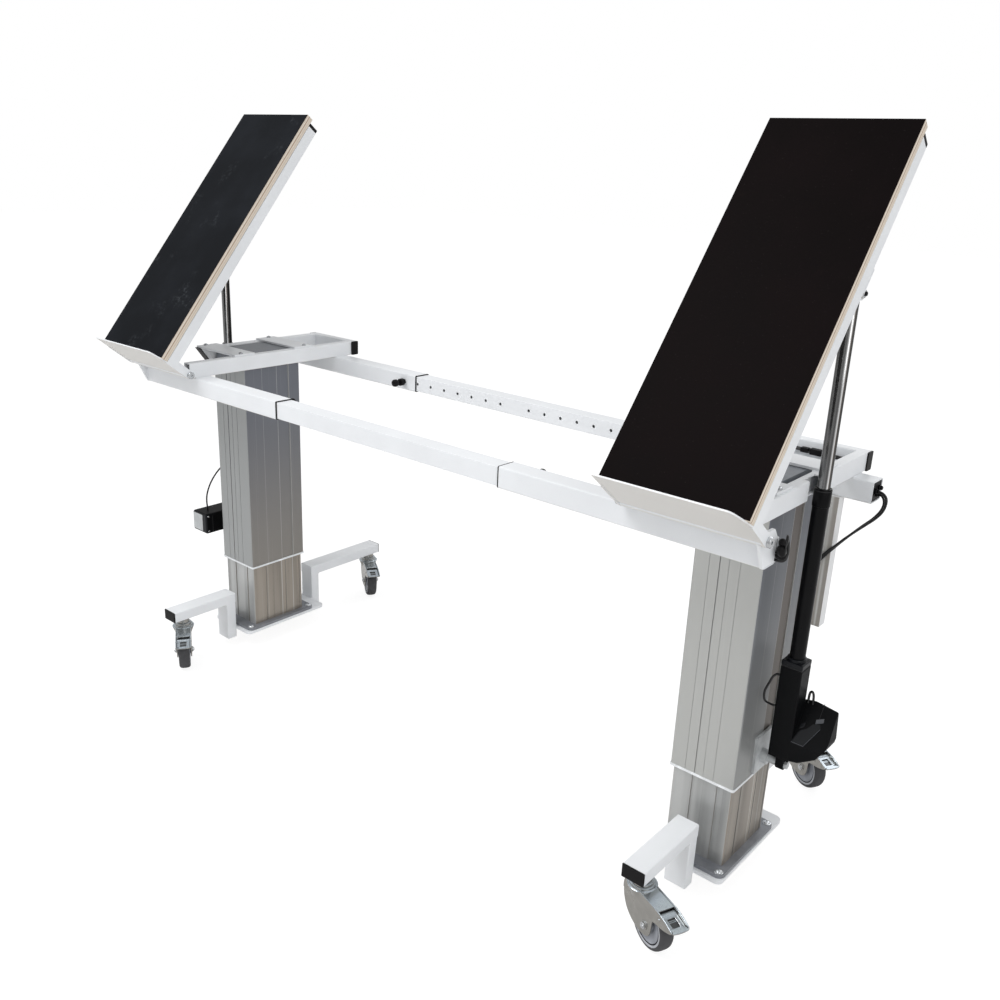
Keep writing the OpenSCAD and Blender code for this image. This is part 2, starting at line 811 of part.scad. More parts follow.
module side_tube(x0, short) {
    x1 = x0 + side_w;
    difference() {
        bar_y(x0, x1, side_front, side_rear + weld, deck_z, deck_z + side_h, tube_r);
        box(x0 + side_wall, x1 - side_wall, side_front - side_wall, side_rear + 2 * weld,
            deck_z + side_wall, deck_z + side_h - side_wall);
        if (short) {
            mitre_block(x0);
        }
    }
}

module rear_tube() {
    y1 = side_rear + side_w;
    difference() {
        bar_x(col_x - deck_in, col_x + deck_out, side_rear, y1, deck_z, deck_z + side_h, tube_r);
        box(col_x - deck_in - side_wall, col_x + deck_out + side_wall, side_rear + side_wall, y1 - side_wall,
            deck_z + side_wall, deck_z + side_h - side_wall);
    }
}

// everything in front of the slanted end of the short tube
module mitre_block(x0) {
    plate_x(x0 - side_w, x0 + 2 * side_w) polygon([[2 * side_front, deck_z - side_h],
        [2 * mitre_low - mitre_top, deck_z - side_h], [mitre_low, deck_z], [mitre_top, deck_z + side_h],
        [2 * mitre_top - mitre_low, deck_z + 2 * side_h], [2 * side_front, deck_z + 2 * side_h]]);
}

module crossbar_tube(y0) {
    difference() {
        bar_x(bar_x0, bar_x1, y0, y0 + bar_d, deck_z - bar_h, deck_z, tube_r);
        box(bar_x0 - bar_wall, bar_x1 + bar_wall, y0 + bar_wall, y0 + bar_d - bar_wall,
            deck_z - bar_h + bar_wall, deck_z - bar_wall);
    }
}

module top_frame(s) {
    far = shift(s);
    top = deck_z + side_h;
    hinge_a = board_x1 - board_w + lever_t + lever_gap + far;
    hinge_b = board_x1 - lever_t - lever_gap + far;
    mirror_left(s) difference() {
        union() {
            crossbar_tube(-bar_in - bar_d);
            crossbar_tube(bar_in);
            side_tube(col_x - deck_in, false);
            side_tube(col_x + deck_out - side_w, s < 0);
            rear_tube();
            for (x = [col_x - deck_in, col_x + deck_out - side_w], y = [-bar_in - bar_d, bar_in]) {
                box(x + tube_r, x + side_w - tube_r, y + tube_r, y + bar_d - tube_r, deck_z - weld,
                    deck_z + weld);
            }
            for (y = [-strip_out, strip_in]) {
                box(col_x - deck_in + strip_back, col_x + deck_out - strip_back, y,
                    y + strip_out - strip_in, top - weld, top + strip_t);
            }
            rod_x(hinge_a, hinge_b, hinge_y, hinge_z, hinge_r);
            plate_x(ear_x, ear_x + ear_t) polygon(ear_shape);
        }
        rod_x(hinge_a - bolt_in, hinge_b + bolt_in, hinge_y, hinge_z, bolt_r);
        if (s > 0) {
            box(col_x + deck_out - notch_depth, col_x + 2 * deck_out, notch_a, notch_b,
                deck_z - side_wall, top + side_wall);
        }
        for (a = [-1, 1]) {
            rod_y(knob_x, a * bar_in - 2 * bar_wall, a * bar_in + 2 * bar_wall, axis_along,
                knob_pin_r + knob_gap, fine);
            for (x = bolt_places, y = [-strip_bolt_y, strip_bolt_y]) {
                translate([x, y, top - strip_bolt_l])
                    cylinder(h = strip_bolt_l + 2 * strip_t, r = strip_bolt_r / 2, $fn = coarse);
            }
        }
        crossbar_hollow(-bar_in - bar_d);
    }
}

// keeps the front tube open where the ears meet it
module crossbar_hollow(y0) {
    box(bar_x0 - bar_wall, ear_x, y0 + bar_wall, y0 + bar_d - bar_wall, deck_z - bar_h + bar_wall,
        deck_z - bar_wall);
}

module frame_bolts(s) {
    far = shift(s);
    a = board_x1 - board_w + far;
    b = board_x1 + far;
    mirror_left(s) {
        union() {
            rod_x(b - lever_t - bolt_in, b + lever_gap + near, hinge_y, hinge_z, bolt_r);
            rod_x(b + lever_gap, b + lever_gap + bolt_head_h, hinge_y, hinge_z, bolt_head_r, coarse);
        }
        union() {
            rod_x(a - lever_gap - near, a + lever_t + bolt_in, hinge_y, hinge_z, bolt_r);
            rod_x(a - lever_gap - bolt_head_h, a - lever_gap, hinge_y, hinge_z, bolt_head_r, coarse);
        }
        for (x = bolt_places, y = [-strip_bolt_y, strip_bolt_y]) {
            strip_bolt(x, y);
        }
    }
}

module strip_bolt(x, y) {
    top = deck_z + side_h;
    translate([x, y, top - strip_bolt_l])
        cylinder(h = strip_bolt_l + strip_t + near, r = strip_bolt_r / 2, $fn = coarse);
    translate([x, y, top + strip_t]) difference() {
        cylinder(h = strip_bolt_h, r = strip_bolt_r, $fn = coarse);
        translate([0, 0, strip_bolt_h / 2]) cylinder(h = strip_bolt_h, r = strip_bolt_r / 2, $fn = 6);
    }
}

module collar(y0) {
    edge = bar_wall + slide_gap - collar_gap;
    plate_x(bar_x0 - collar_t, bar_x0) difference() {
        translate([y0, deck_z - bar_h]) rounded(bar_d, bar_h, tube_r);
        translate([y0 + edge, deck_z - bar_h + edge]) rounded(bar_d - 2 * edge, bar_h - 2 * edge,
            core_r + collar_gap);
    }
}

// plug in an end of the rear cross tube; a is the end's side
module rear_cap(a) {
    x = a > 0 ? col_x + deck_out : col_x - deck_in;
    y0 = side_rear;
    top = deck_z + side_h;
    g = side_wall + cap_gap;
    union() {
        bar_x(min(x, x + a * cap_t), max(x, x + a * cap_t), y0, y0 + side_w, deck_z, top, tube_r);
        box(min(x + a * near, x - a * cap_plug), max(x + a * near, x - a * cap_plug), y0 + g, y0 + side_w - g,
            deck_z + g, top - g);
    }
}

module frame_caps(s) {
    mirror_left(s) {
        collar(-bar_in - bar_d);
        collar(bar_in);
        rear_cap(-1);
        rear_cap(1);
        if (s < 0) {
            plate_x(col_x + deck_out - side_w, col_x + deck_out) polygon([[mitre_low, deck_z],
                [mitre_top, deck_z + side_h],
                [mitre_top - cap_t, deck_z + side_h], [mitre_low - cap_t, deck_z]]);
        }
    }
}

module sleeve(a) {
    difference() {
        union() {
            rod_out(a, knob_x, bar_in - sleeve_neck_l - near, bar_in, axis_along, sleeve_neck_r);
            rod_out(a, knob_x, bar_in - sleeve_l, bar_in - sleeve_neck_l, axis_along, sleeve_r);
        }
        rod_out(a, knob_x, bar_in - 2 * sleeve_l, bar_in + sleeve_l, axis_along, knob_pin_r + knob_gap);
    }
}

module index_sleeves(s) {
    mirror_left(s) {
        sleeve(-1);
        sleeve(1);
    }
}

// pin, waist and knob, pulled out of the hole; the local axis starts at the inner tube
module plunger(s, a) {
    from = sleeve_l + knob_lift;
    bulge = knob_l / 4;
    mirror_left(s) translate([knob_x, a * bar_in, axis_along]) rotate([a * 90, 0,
        0]) rotate_extrude($fn = coarse)
        polygon([[0, -bar_wall], [knob_pin_r, -bar_wall], [knob_pin_r, from], [knob_waist, from],
            [knob_r, from + bulge],
            [knob_r, from + knob_l - bulge], [knob_waist, from + knob_l], [0, from + knob_l]]);
}

module inner_bar(a) {
    y0 = a > 0 ? bar_in + bar_wall + slide_gap : -bar_in - bar_d + bar_wall + slide_gap;
    y1 = y0 + bar_d - 2 * bar_wall - 2 * slide_gap;
    z0 = deck_z - bar_h + bar_wall + slide_gap;
    z1 = deck_z - bar_wall - slide_gap;
    difference() {
        bar_x(-slide_half, slide_half, y0, y1, z0, z1, core_r);
        box(-slide_half - bar_wall, slide_half + bar_wall, y0 + bar_wall, y1 - bar_wall, z0 + bar_wall,
            z1 - bar_wall);
        for (i = [0 : index_count - 1]) {
            for (m = [-1, 1]) {
                rod_out(a, m * (index_first + i * index_pitch), bar_in, bar_in + 3 * bar_wall,
                    axis_along, index_r, corner);
            }
        }
    }
}

// ---- tilt boards: local Y along the board, local Z out of its face, origin on the hinge axis ----

module place_board() {
    translate([0, hinge_y, hinge_z]) rotate([tilt, 0, 0]) children();
}

function edge_left(s) = s > 0 ? board_x1 - board_w : -board_x1 - left_shift;
function edge_right(s) = edge_left(s) + board_w;

module board(s) {
    place_board() box(edge_left(s), edge_right(s), board_low, board_low + board_l, face_h - board_t, face_h);
}

module rail(x0) {
    z1 = face_h - board_t;
    difference() {
        bar_y(x0, x0 + rail_w, board_low - near, rail_top, z1 - rail_d, z1, rail_wall);
        box(x0 + rail_wall, x0 + rail_w - rail_wall, board_low + rail_wall, rail_top + rail_wall,
            z1 - rail_d + rail_wall, z1 - rail_wall);
    }
}

module lever(x0) {
    plate_x(x0, x0 + lever_t) difference() {
        union() {
            translate([-lever_h, 0]) square([2 * lever_h, face_h - board_t]);
            circle(r = lever_h, $fn = fine);
        }
        circle(r = bolt_r + bolt_gap, $fn = fine);
    }
}

module lip(x0, x1) {
    translate([0, board_low, 0]) rotate([90, 0, 0]) linear_extrude(lip_t) polygon(concat(
        [[x0, face_h - lip_down], [x0, face_h + lip_up]],
        [for (p = lip_cut) [x1 + p[0], face_h + p[1]]],
        [[x1, face_h - lip_down]]));
}

module brace(x0, x1, y) {
    z1 = face_h - board_t;
    difference() {
        box(x0, x1, y, y + rail_w, z1 - rail_d, z1);
        box(x0 - rail_wall, x1 + rail_wall, y + rail_wall, y + rail_w - rail_wall,
            z1 - rail_d + rail_wall, z1 - rail_wall);
    }
}

// the eye of the actuator in board coordinates
eye_y = (act_y - hinge_y) * cos(tilt) + (eye_z - hinge_z) * sin(tilt);
eye_h = -(act_y - hinge_y) * sin(tilt) + (eye_z - hinge_z) * cos(tilt);

module clevis(s) {
    cx = s * (act_x + shift(s));
    back = face_h - board_t - rail_d;
    outer = s * (board_x1 + shift(s));
    inner = cx - s * (ear_gap + clevis_t);
    box(min(inner, outer), max(inner, outer), eye_y - clevis_half, eye_y + clevis_half, back - clevis_t,
        back + near);
    for (a = [-1, 1]) {
        x0 = a > 0 ? cx + ear_gap : cx - ear_gap - clevis_t;
        plate_x(x0, x0 + clevis_t) hull() {
            translate([eye_y, eye_h]) circle(r = eye_r, $fn = coarse);
            translate([eye_y - eye_r, back - clevis_t]) square([2 * eye_r, clevis_t]);
        }
        h0 = a > 0 ? x0 + clevis_t - near : x0 - clevis_t;
        rod_x(h0, h0 + clevis_t + near, eye_y, eye_h, nut_r, 6);
    }
}

module board_frame(s) {
    a = edge_left(s);
    b = edge_right(s);
    place_board() union() {
        difference() {
            union() {
                rail(a);
                rail(b - rail_w);
                brace(a + rail_w - near, b - rail_w + near, brace_a);
                brace(a + rail_w - near, b - rail_w + near, brace_b);
            }
            for (y = [brace_a, brace_b]) {
                box(a + rail_w - 2 * rail_wall, b - rail_w + 2 * rail_wall, y + rail_wall,
                    y + rail_w - rail_wall,
                    face_h - board_t - rail_d + rail_wall, face_h - board_t - rail_wall);
            }
        }
        lever(a);
        lever(b - lever_t);
        lip(a, b);
        clevis(s);
    }
}

module rail_cap(x0) {
    z1 = face_h - board_t;
    g = rail_wall + cap_gap;
    union() {
        bar_y(x0, x0 + rail_w, rail_top, rail_top + rail_cap_t, z1 - rail_d, z1, rail_wall);
        box(x0 + g, x0 + rail_w - g, rail_top - cap_plug, rail_top + near, z1 - rail_d + g, z1 - g);
    }
}

module rail_caps(s) {
    place_board() {
        rail_cap(edge_left(s));
        rail_cap(edge_right(s) - rail_w);
    }
}

// ---- actuators ----

module lug(x, z0, z1, z) {
    hull() {
        rod_x(x - eye_t, x + eye_t, act_y, z, eye_r);
        box(x - eye_t, x + eye_t, act_y - eye_r, act_y + eye_r, z0, z1);
    }
}

module actuator(s) {
    x = act_x + shift(s);
    mirror_left(s) difference() {
        union() {
            bar_z(x - gear_w, x + gear_w, act_y - gear_w, act_y + gear_w, gear_low, gear_top, gear_r);
            lug(x, gear_low, gear_low + gear_r, pin_z);
            translate([x, act_y, gear_top - near]) cylinder(h = foot_ring_h, r = foot_ring_r, $fn = fine);
            translate([x, act_y, gear_top]) cylinder(h = guide_top - gear_top, r = guide_r, $fn = fine);
            translate([x, act_y, guide_collar_low])
                cylinder(h = guide_top - guide_collar_low, r = guide_collar_r, $fn = fine);
            if (s > 0) {
                difference() {
                    translate([x, motor_rear, 0]) rotate([90, 0, 0]) linear_extrude(motor_rear - motor_front)
                        offset(r = gear_r, $fn = corner) offset(delta = -gear_r) polygon(motor_shape);
                    translate([x, 0, 0]) rotate([90, 0, 90]) linear_extrude(gear_top - gear_low)
                        polygon(motor_slope);
                }
            } else {
                bar_y(x - motor_half, x + motor_half, motor_reach, act_y - gear_w / 2, motor_low,
                    motor_top, 2 * gear_r);
            }
        }
        translate([x, act_y, guide_bore_low]) cylinder(h = guide_top, r = rod_r + rod_gap, $fn = fine);
        rod_x(x - 2 * eye_t, x + 2 * eye_t, act_y, pin_z, pin_r + hub_gap);
    }
}

module actuator_rod(s) {
    x = act_x + shift(s);
    mirror_left(s) difference() {
        union() {
            translate([x, act_y, rod_low]) cylinder(h = eye_z - rod_low - eye_r / 2, r = rod_r, $fn = fine);
            rod_x(x - eye_t, x + eye_t, act_y, eye_z, eye_r);
        }
        rod_x(x - 2 * eye_t, x + 2 * eye_t, act_y, eye_z, pin_r, coarse);
    }
}

module pivot_bracket(s) {
    face = col_x + col_w / 2;
    x = act_x + shift(s);
    mirror_left(s) union() {
        bar_x(face, face + bracket_t, bracket_a, bracket_b, bracket_low, bracket_high, gear_r);
        rod_x(face + bracket_t - near, face + bracket_t + boss_l + shift(s), act_y, pin_z, boss_r);
        rod_x(face + bracket_t, x - eye_t - lever_gap, act_y, pin_z, spacer_r);
        rod_x(face + bracket_t, x + eye_t + lever_gap + nut_h, act_y, pin_z, pin_r);
        rod_x(x + eye_t + lever_gap, x + eye_t + lever_gap + nut_h, act_y, pin_z, nut_r, 6);
    }
}

// ---- holder behind the right column ----

module holder_sheet() {
    y1 = holder_y + holder_d;
    top = deck_z - bar_h;
    union() {
        box(holder_x0, holder_x1, holder_y, holder_y + holder_t, holder_low, top);
        box(holder_x1 - holder_t, holder_x1, holder_y, y1, holder_low, top);
        box(holder_x0, holder_x0 + holder_t, holder_y, y1, holder_low, top);
        box(holder_x0, holder_x1, holder_y, y1, top - holder_t, top);
        box(holder_x0, holder_x1, holder_y, y1, holder_low, holder_low + holder_t);
    }
}

// ---- cables as tubes along route points ----

function ring_dir(p, i) = let (a = p[max(i - 1, 0)], b = p[min(i + 1, len(p) - 1)]) (b - a) / norm(b - a);
function side_of(d) = let (u = abs(d[2]) < 0.9 ? [0, 0, 1] : [0, 1, 0], c = cross(u, d)) c / norm(c);
function turned(v, d) = let (w = v - (v * d) * d) w / norm(w);
function frames(p, i = 0, v = [0, 0, 0], out = []) = i == len(p) ? out :
    let (d = ring_dir(p, i), w = i == 0 ? side_of(d) : turned(v, d)) frames(p, i + 1, w, concat(out, [[w,
        cross(d, w)]]));
function bend(p, n) = [for (i = [0 : len(p) - 2], k = [0 : n - 1]) spline(p, i, k / n), p[len(p) - 1]];
function spline(p, i, t) = let (a = p[max(i - 1, 0)], b = p[i], c = p[i + 1], d = p[min(i + 2, len(p) - 1)])
    0.5 * (2 * b + (c - a) * t + (2 * a - 5 * b + 4 * c - d) * t * t + (3 * b - a - 3 * c + d) * t * t * t);

module cable(route, r, steps) {
    p = bend(route, steps);
    f = frames(p);
    n = len(p);
    m = cord_sides;
    points = [for (i = [0 : n - 1], k = [0 : m - 1])
        p[i] + r * (cos(360 * k / m) * f[i][0] + sin(360 * k / m) * f[i][1])];
    skin = [for (i = [0 : n - 2], k = [0 : m - 1])
        [i * m + k, (i + 1) * m + k, (i + 1) * m + (k + 1) % m, i * m + (k + 1) % m]];
    ends = [[for (k = [0 : m - 1]) k], [for (k = [m - 1 : -1 : 0]) (n - 1) * m + k]];
    polyhedron(points = points, faces = concat(skin, ends));
}

white = [0.93, 0.94, 0.95];
silver = [0.72, 0.73, 0.74];
zinc = [0.62, 0.6, 0.57];
black = [0.05, 0.05, 0.055];
grey = [0.45, 0.47, 0.5];

module placed() {
    translate([-middle_x, -middle_y, 0]) children();
}

module foot_right() { color(white) foot(1); }
module foot_left() { color(white) foot(-1); }
module foot_caps_right() { color(black) foot_caps(1); }
module foot_caps_left() { color(black) foot_caps(-1); }
module base_plate_right() { color(silver) base_plate(1); }
module base_plate_left() { color(silver) base_plate(-1); }
module base_screws_right() { color(zinc) base_screws(1); }
module base_screws_left() { color(zinc) base_screws(-1); }
module inner_column_right() { color(silver) inner_column(1); }
module inner_column_left() { color(silver) inner_column(-1); }
module push_rod_right() { color(zinc) push_rod(1); }
module push_rod_left() { color(zinc) push_rod(-1); }
module fork_rf() { color(zinc) place_caster(1, stem_front, turn_rf) fork(); }
module fork_rr() { color(zinc) place_caster(1, stem_rear, turn_rr) fork(); }
module fork_lf() { color(zinc) place_caster(-1, stem_front, turn_lf) fork(); }
module fork_lr() { color(zinc) place_caster(-1, stem_rear, turn_lr) fork(); }
module wheel_rf() { color(grey) place_caster(1, stem_front, turn_rf) wheel(); }
module wheel_rr() { color(grey) place_caster(1, stem_rear, turn_rr) wheel(); }
module wheel_lf() { color(grey) place_caster(-1, stem_front, turn_lf) wheel(); }
module wheel_lr() { color(grey) place_caster(-1, stem_rear, turn_lr) wheel(); }
module pedal_rf() { color(zinc) place_caster(1, stem_front, turn_rf) pedal(); }
module pedal_rr() { color(zinc) place_caster(1, stem_rear, turn_rr) pedal(); }
module pedal_lf() { color(zinc) place_caster(-1, stem_front, turn_lf) pedal(); }
module pedal_lr() { color(zinc) place_caster(-1, stem_rear, turn_lr) pedal(); }
module outer_column_right() { color(silver) outer_column(1); }
module outer_column_left() { color(silver) outer_column(-1); }
module glide_ring_right() { color(white) glide_ring(1); }
module glide_ring_left() { color(white) glide_ring(-1); }
module lift_drive_right() { color(grey) lift_drive(1); }
module lift_drive_left() { color(grey) lift_drive(-1); }
module top_frame_right() { color(white) top_frame(1); }
module top_frame_left() { color(white) top_frame(-1); }
module frame_caps_right() { color(black) frame_caps(1); }
module frame_caps_left() { color(black) frame_caps(-1); }
module index_sleeves_right() { color(black) index_sleeves(1); }
module index_sleeves_left() { color(black) index_sleeves(-1); }
module pivot_bracket_right() { color(silver) pivot_bracket(1); }
module pivot_bracket_left() { color(silver) pivot_bracket(-1); }
module frame_bolts_right() { color(zinc) frame_bolts(1); }
module frame_bolts_left() { color(zinc) frame_bolts(-1); }
module inner_bar_front() { color(white) inner_bar(-1); }
module inner_bar_rear() { color(white) inner_bar(1); }
module plunger_right_front() { color(black) plunger(1, -1); }
module plunger_right_rear() { color(black) plunger(1, 1); }
module plunger_left_front() { color(black) plunger(-1, -1); }
module plunger_left_rear() { color(black) plunger(-1, 1); }
module board_right() { color(black) board(1); }
module board_left() { color(black) board(-1); }
module board_frame_right() { color(white) board_frame(1); }
module board_frame_left() { color(white) board_frame(-1); }
module rail_caps_right() { color(black) rail_caps(1); }
module rail_caps_left() { color(black) rail_caps(-1); }
module actuator_right() { color(black) actuator(1); }
module actuator_left() { color(black) actuator(-1); }
module actuator_rod_right() { color(zinc) actuator_rod(1); }
module actuator_rod_left() { color(zinc) actuator_rod(-1); }
module holder() { color(white) holder_sheet(); }
module cables_right() {
    color(black) {
        cable(route_a, cable_r, 2);
        cable(route_b, cable_r, 2);
        cable(route_knot, cable_r, 2);
        cable(route_bundle, cable_r, 1);
        cable(route_bundle_b, cable_r, 1);
    }
}
module cable_loop_right() {
    color(black) {
        cable(route_loop, motor_cable_r, 2);
        cable(route_motor, motor_cable_r, 2);
    }
}
module cable_left() { color(black) cable(route_left, motor_cable_r, 2); }

placed() foot_right();
placed() foot_caps_right();
placed() base_plate_right();
placed() base_screws_right();
placed() inner_column_right();
placed() push_rod_right();
placed() foot_left();
placed() foot_caps_left();
placed() base_plate_left();
placed() base_screws_left();
placed() inner_column_left();
placed() push_rod_left();
placed() fork_rf();
placed() wheel_rf();
placed() pedal_rf();
placed() fork_rr();
placed() wheel_rr();
placed() pedal_rr();
placed() fork_lf();
placed() wheel_lf();
placed() pedal_lf();
placed() fork_lr();
placed() wheel_lr();
placed() pedal_lr();
placed() outer_column_right();
placed() glide_ring_right();
placed() lift_drive_right();
placed() top_frame_right();
placed() frame_caps_right();
placed() index_sleeves_right();
placed() pivot_bracket_right();
placed() frame_bolts_right();
placed() outer_column_left();
placed() glide_ring_left();
placed() lift_drive_left();
placed() top_frame_left();
placed() frame_caps_left();
placed() index_sleeves_left();
placed() pivot_bracket_left();
placed() frame_bolts_left();
placed() inner_bar_front();
placed() inner_bar_rear();
placed() plunger_right_front();
placed() plunger_right_rear();
placed() plunger_left_front();
placed() plunger_left_rear();
placed() board_right();
placed() board_frame_right();
placed() rail_caps_right();
placed() board_left();
placed() board_frame_left();
placed() rail_caps_left();
placed() actuator_right();
placed() actuator_rod_right();
placed() actuator_left();
placed() actuator_rod_left();
placed() holder();
placed() cables_right();
placed() cable_loop_right();
placed() cable_left();
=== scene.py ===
"""Looks of the tilt-top adjustable table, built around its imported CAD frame.

Sizes are in millimetres in the table's own frame: X along the crossbars from midway between the
columns, Y from the columns' axes to the rear, Z up from the floor. When a piece is settled, it is
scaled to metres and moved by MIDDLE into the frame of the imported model.
"""

import logging
import math
import random
from contextlib import contextmanager
from dataclasses import dataclass, field
from enum import Enum
from functools import cache
from typing import Callable, Iterable, Iterator, Sequence

import bpy
from mathutils import Matrix, Vector


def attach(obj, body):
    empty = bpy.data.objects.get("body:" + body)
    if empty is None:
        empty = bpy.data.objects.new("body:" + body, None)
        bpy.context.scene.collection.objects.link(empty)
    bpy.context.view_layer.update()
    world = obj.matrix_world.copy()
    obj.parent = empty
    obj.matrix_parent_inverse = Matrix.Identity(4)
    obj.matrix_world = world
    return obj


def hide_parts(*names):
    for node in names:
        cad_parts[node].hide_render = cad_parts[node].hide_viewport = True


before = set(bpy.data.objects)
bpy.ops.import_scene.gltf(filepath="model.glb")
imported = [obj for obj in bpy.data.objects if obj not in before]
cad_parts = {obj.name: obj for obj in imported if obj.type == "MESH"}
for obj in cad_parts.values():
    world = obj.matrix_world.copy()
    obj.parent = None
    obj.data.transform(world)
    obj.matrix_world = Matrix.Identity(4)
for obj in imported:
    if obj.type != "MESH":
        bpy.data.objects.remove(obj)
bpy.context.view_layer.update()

LOG = logging.getLogger("table")
MM = 0.001
# MIDDLE leads from the table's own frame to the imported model's; several sub-assemblies share the other places.
MIDDLE = Vector((-7.1, -41.34, 0.0)) * MM
TILT = math.radians(51.25)
HINGE_Y, HINGE_Z = -277.5, 852.7
COLUMN_X = 781.0
ACTUATOR_X, ACTUATOR_Y = 899.5, 12.0
LEFT_SHIFT = 35.0
LOWER_PIN_Z, ROD_EYE_Z = 286.0, 1223.0
FRONT_STEM_Y, REAR_STEM_Y = -289.0, 424.0

Point = tuple[float, float, float]
Outline = Sequence[tuple[float, float]]
Colour = tuple[float, float, float]
Stops = Sequence[tuple[float, Colour]]
Piece = bpy.types.Object
Pieces = Iterable[Piece]
Material = bpy.types.Material


class Side(Enum):
    """Which half of the table a piece belongs to."""

    RIGHT = 1
    LEFT = -1

    @property
    def word(self) -> str:
        """Name of the side as the CAD nodes have it."""
        return self.name.lower()

    @property
    def column(self) -> float:
        """Place of the column's axis along X."""
        return self.value * COLUMN_X

    @property
    def actuator(self) -> float:
        """Place of the tilt actuator's axis along X."""
        return self.value * (ACTUATOR_X + (LEFT_SHIFT if self is Side.LEFT else 0.0))

    @property
    def mirror(self) -> Matrix:
        """Matrix that takes a right-hand place to this side."""
        return Matrix.Diagonal((self.value, 1.0, 1.0, 1.0))


class Axis(Enum):
    """Direction in which an outline is drawn out or a turned piece is laid."""

    X = 0
    Y = 1
    Z = 2


# ---------------------------------------------------------------- materials


def _operation(name: str) -> Callable[..., "Socket"]:
    """A method that puts a value and its other operands into one Math node."""
    return lambda value, *others: value.tree.node("ShaderNodeMath", {"operation": name}, [value, *others])


class Socket:
    """A shader value that can be used in Python arithmetic."""

    __add__ = _operation("ADD")
    __mul__ = _operation("MULTIPLY")
    __sub__ = _operation("SUBTRACT")
    __truediv__ = _operation("DIVIDE")
    __gt__ = _operation("GREATER_THAN")
    __lt__ = _operation("LESS_THAN")
    __abs__ = _operation("ABSOLUTE")

    def __init__(self, tree: "Tree", link: bpy.types.NodeSocket | None) -> None:
        """Keeps the node tree and the output socket."""
        self.tree = tree
        self.link = link

    def __rsub__(self, other: float) -> "Socket":
        """A number minus this value."""
        return self.tree.node("ShaderNodeMath", {"operation": "SUBTRACT"}, [other, self])

    def between(self, low: float, high: float) -> "Socket":
        """One from low to high, else zero."""
        return (self > low) * (self < high)

    def step(self, low: float, high: float) -> "Socket":
        """Smooth ramp from zero at low to one at high."""
        return self.tree.node("ShaderNodeMapRange", {"interpolation_type": "SMOOTHSTEP"}, [self, low, high])


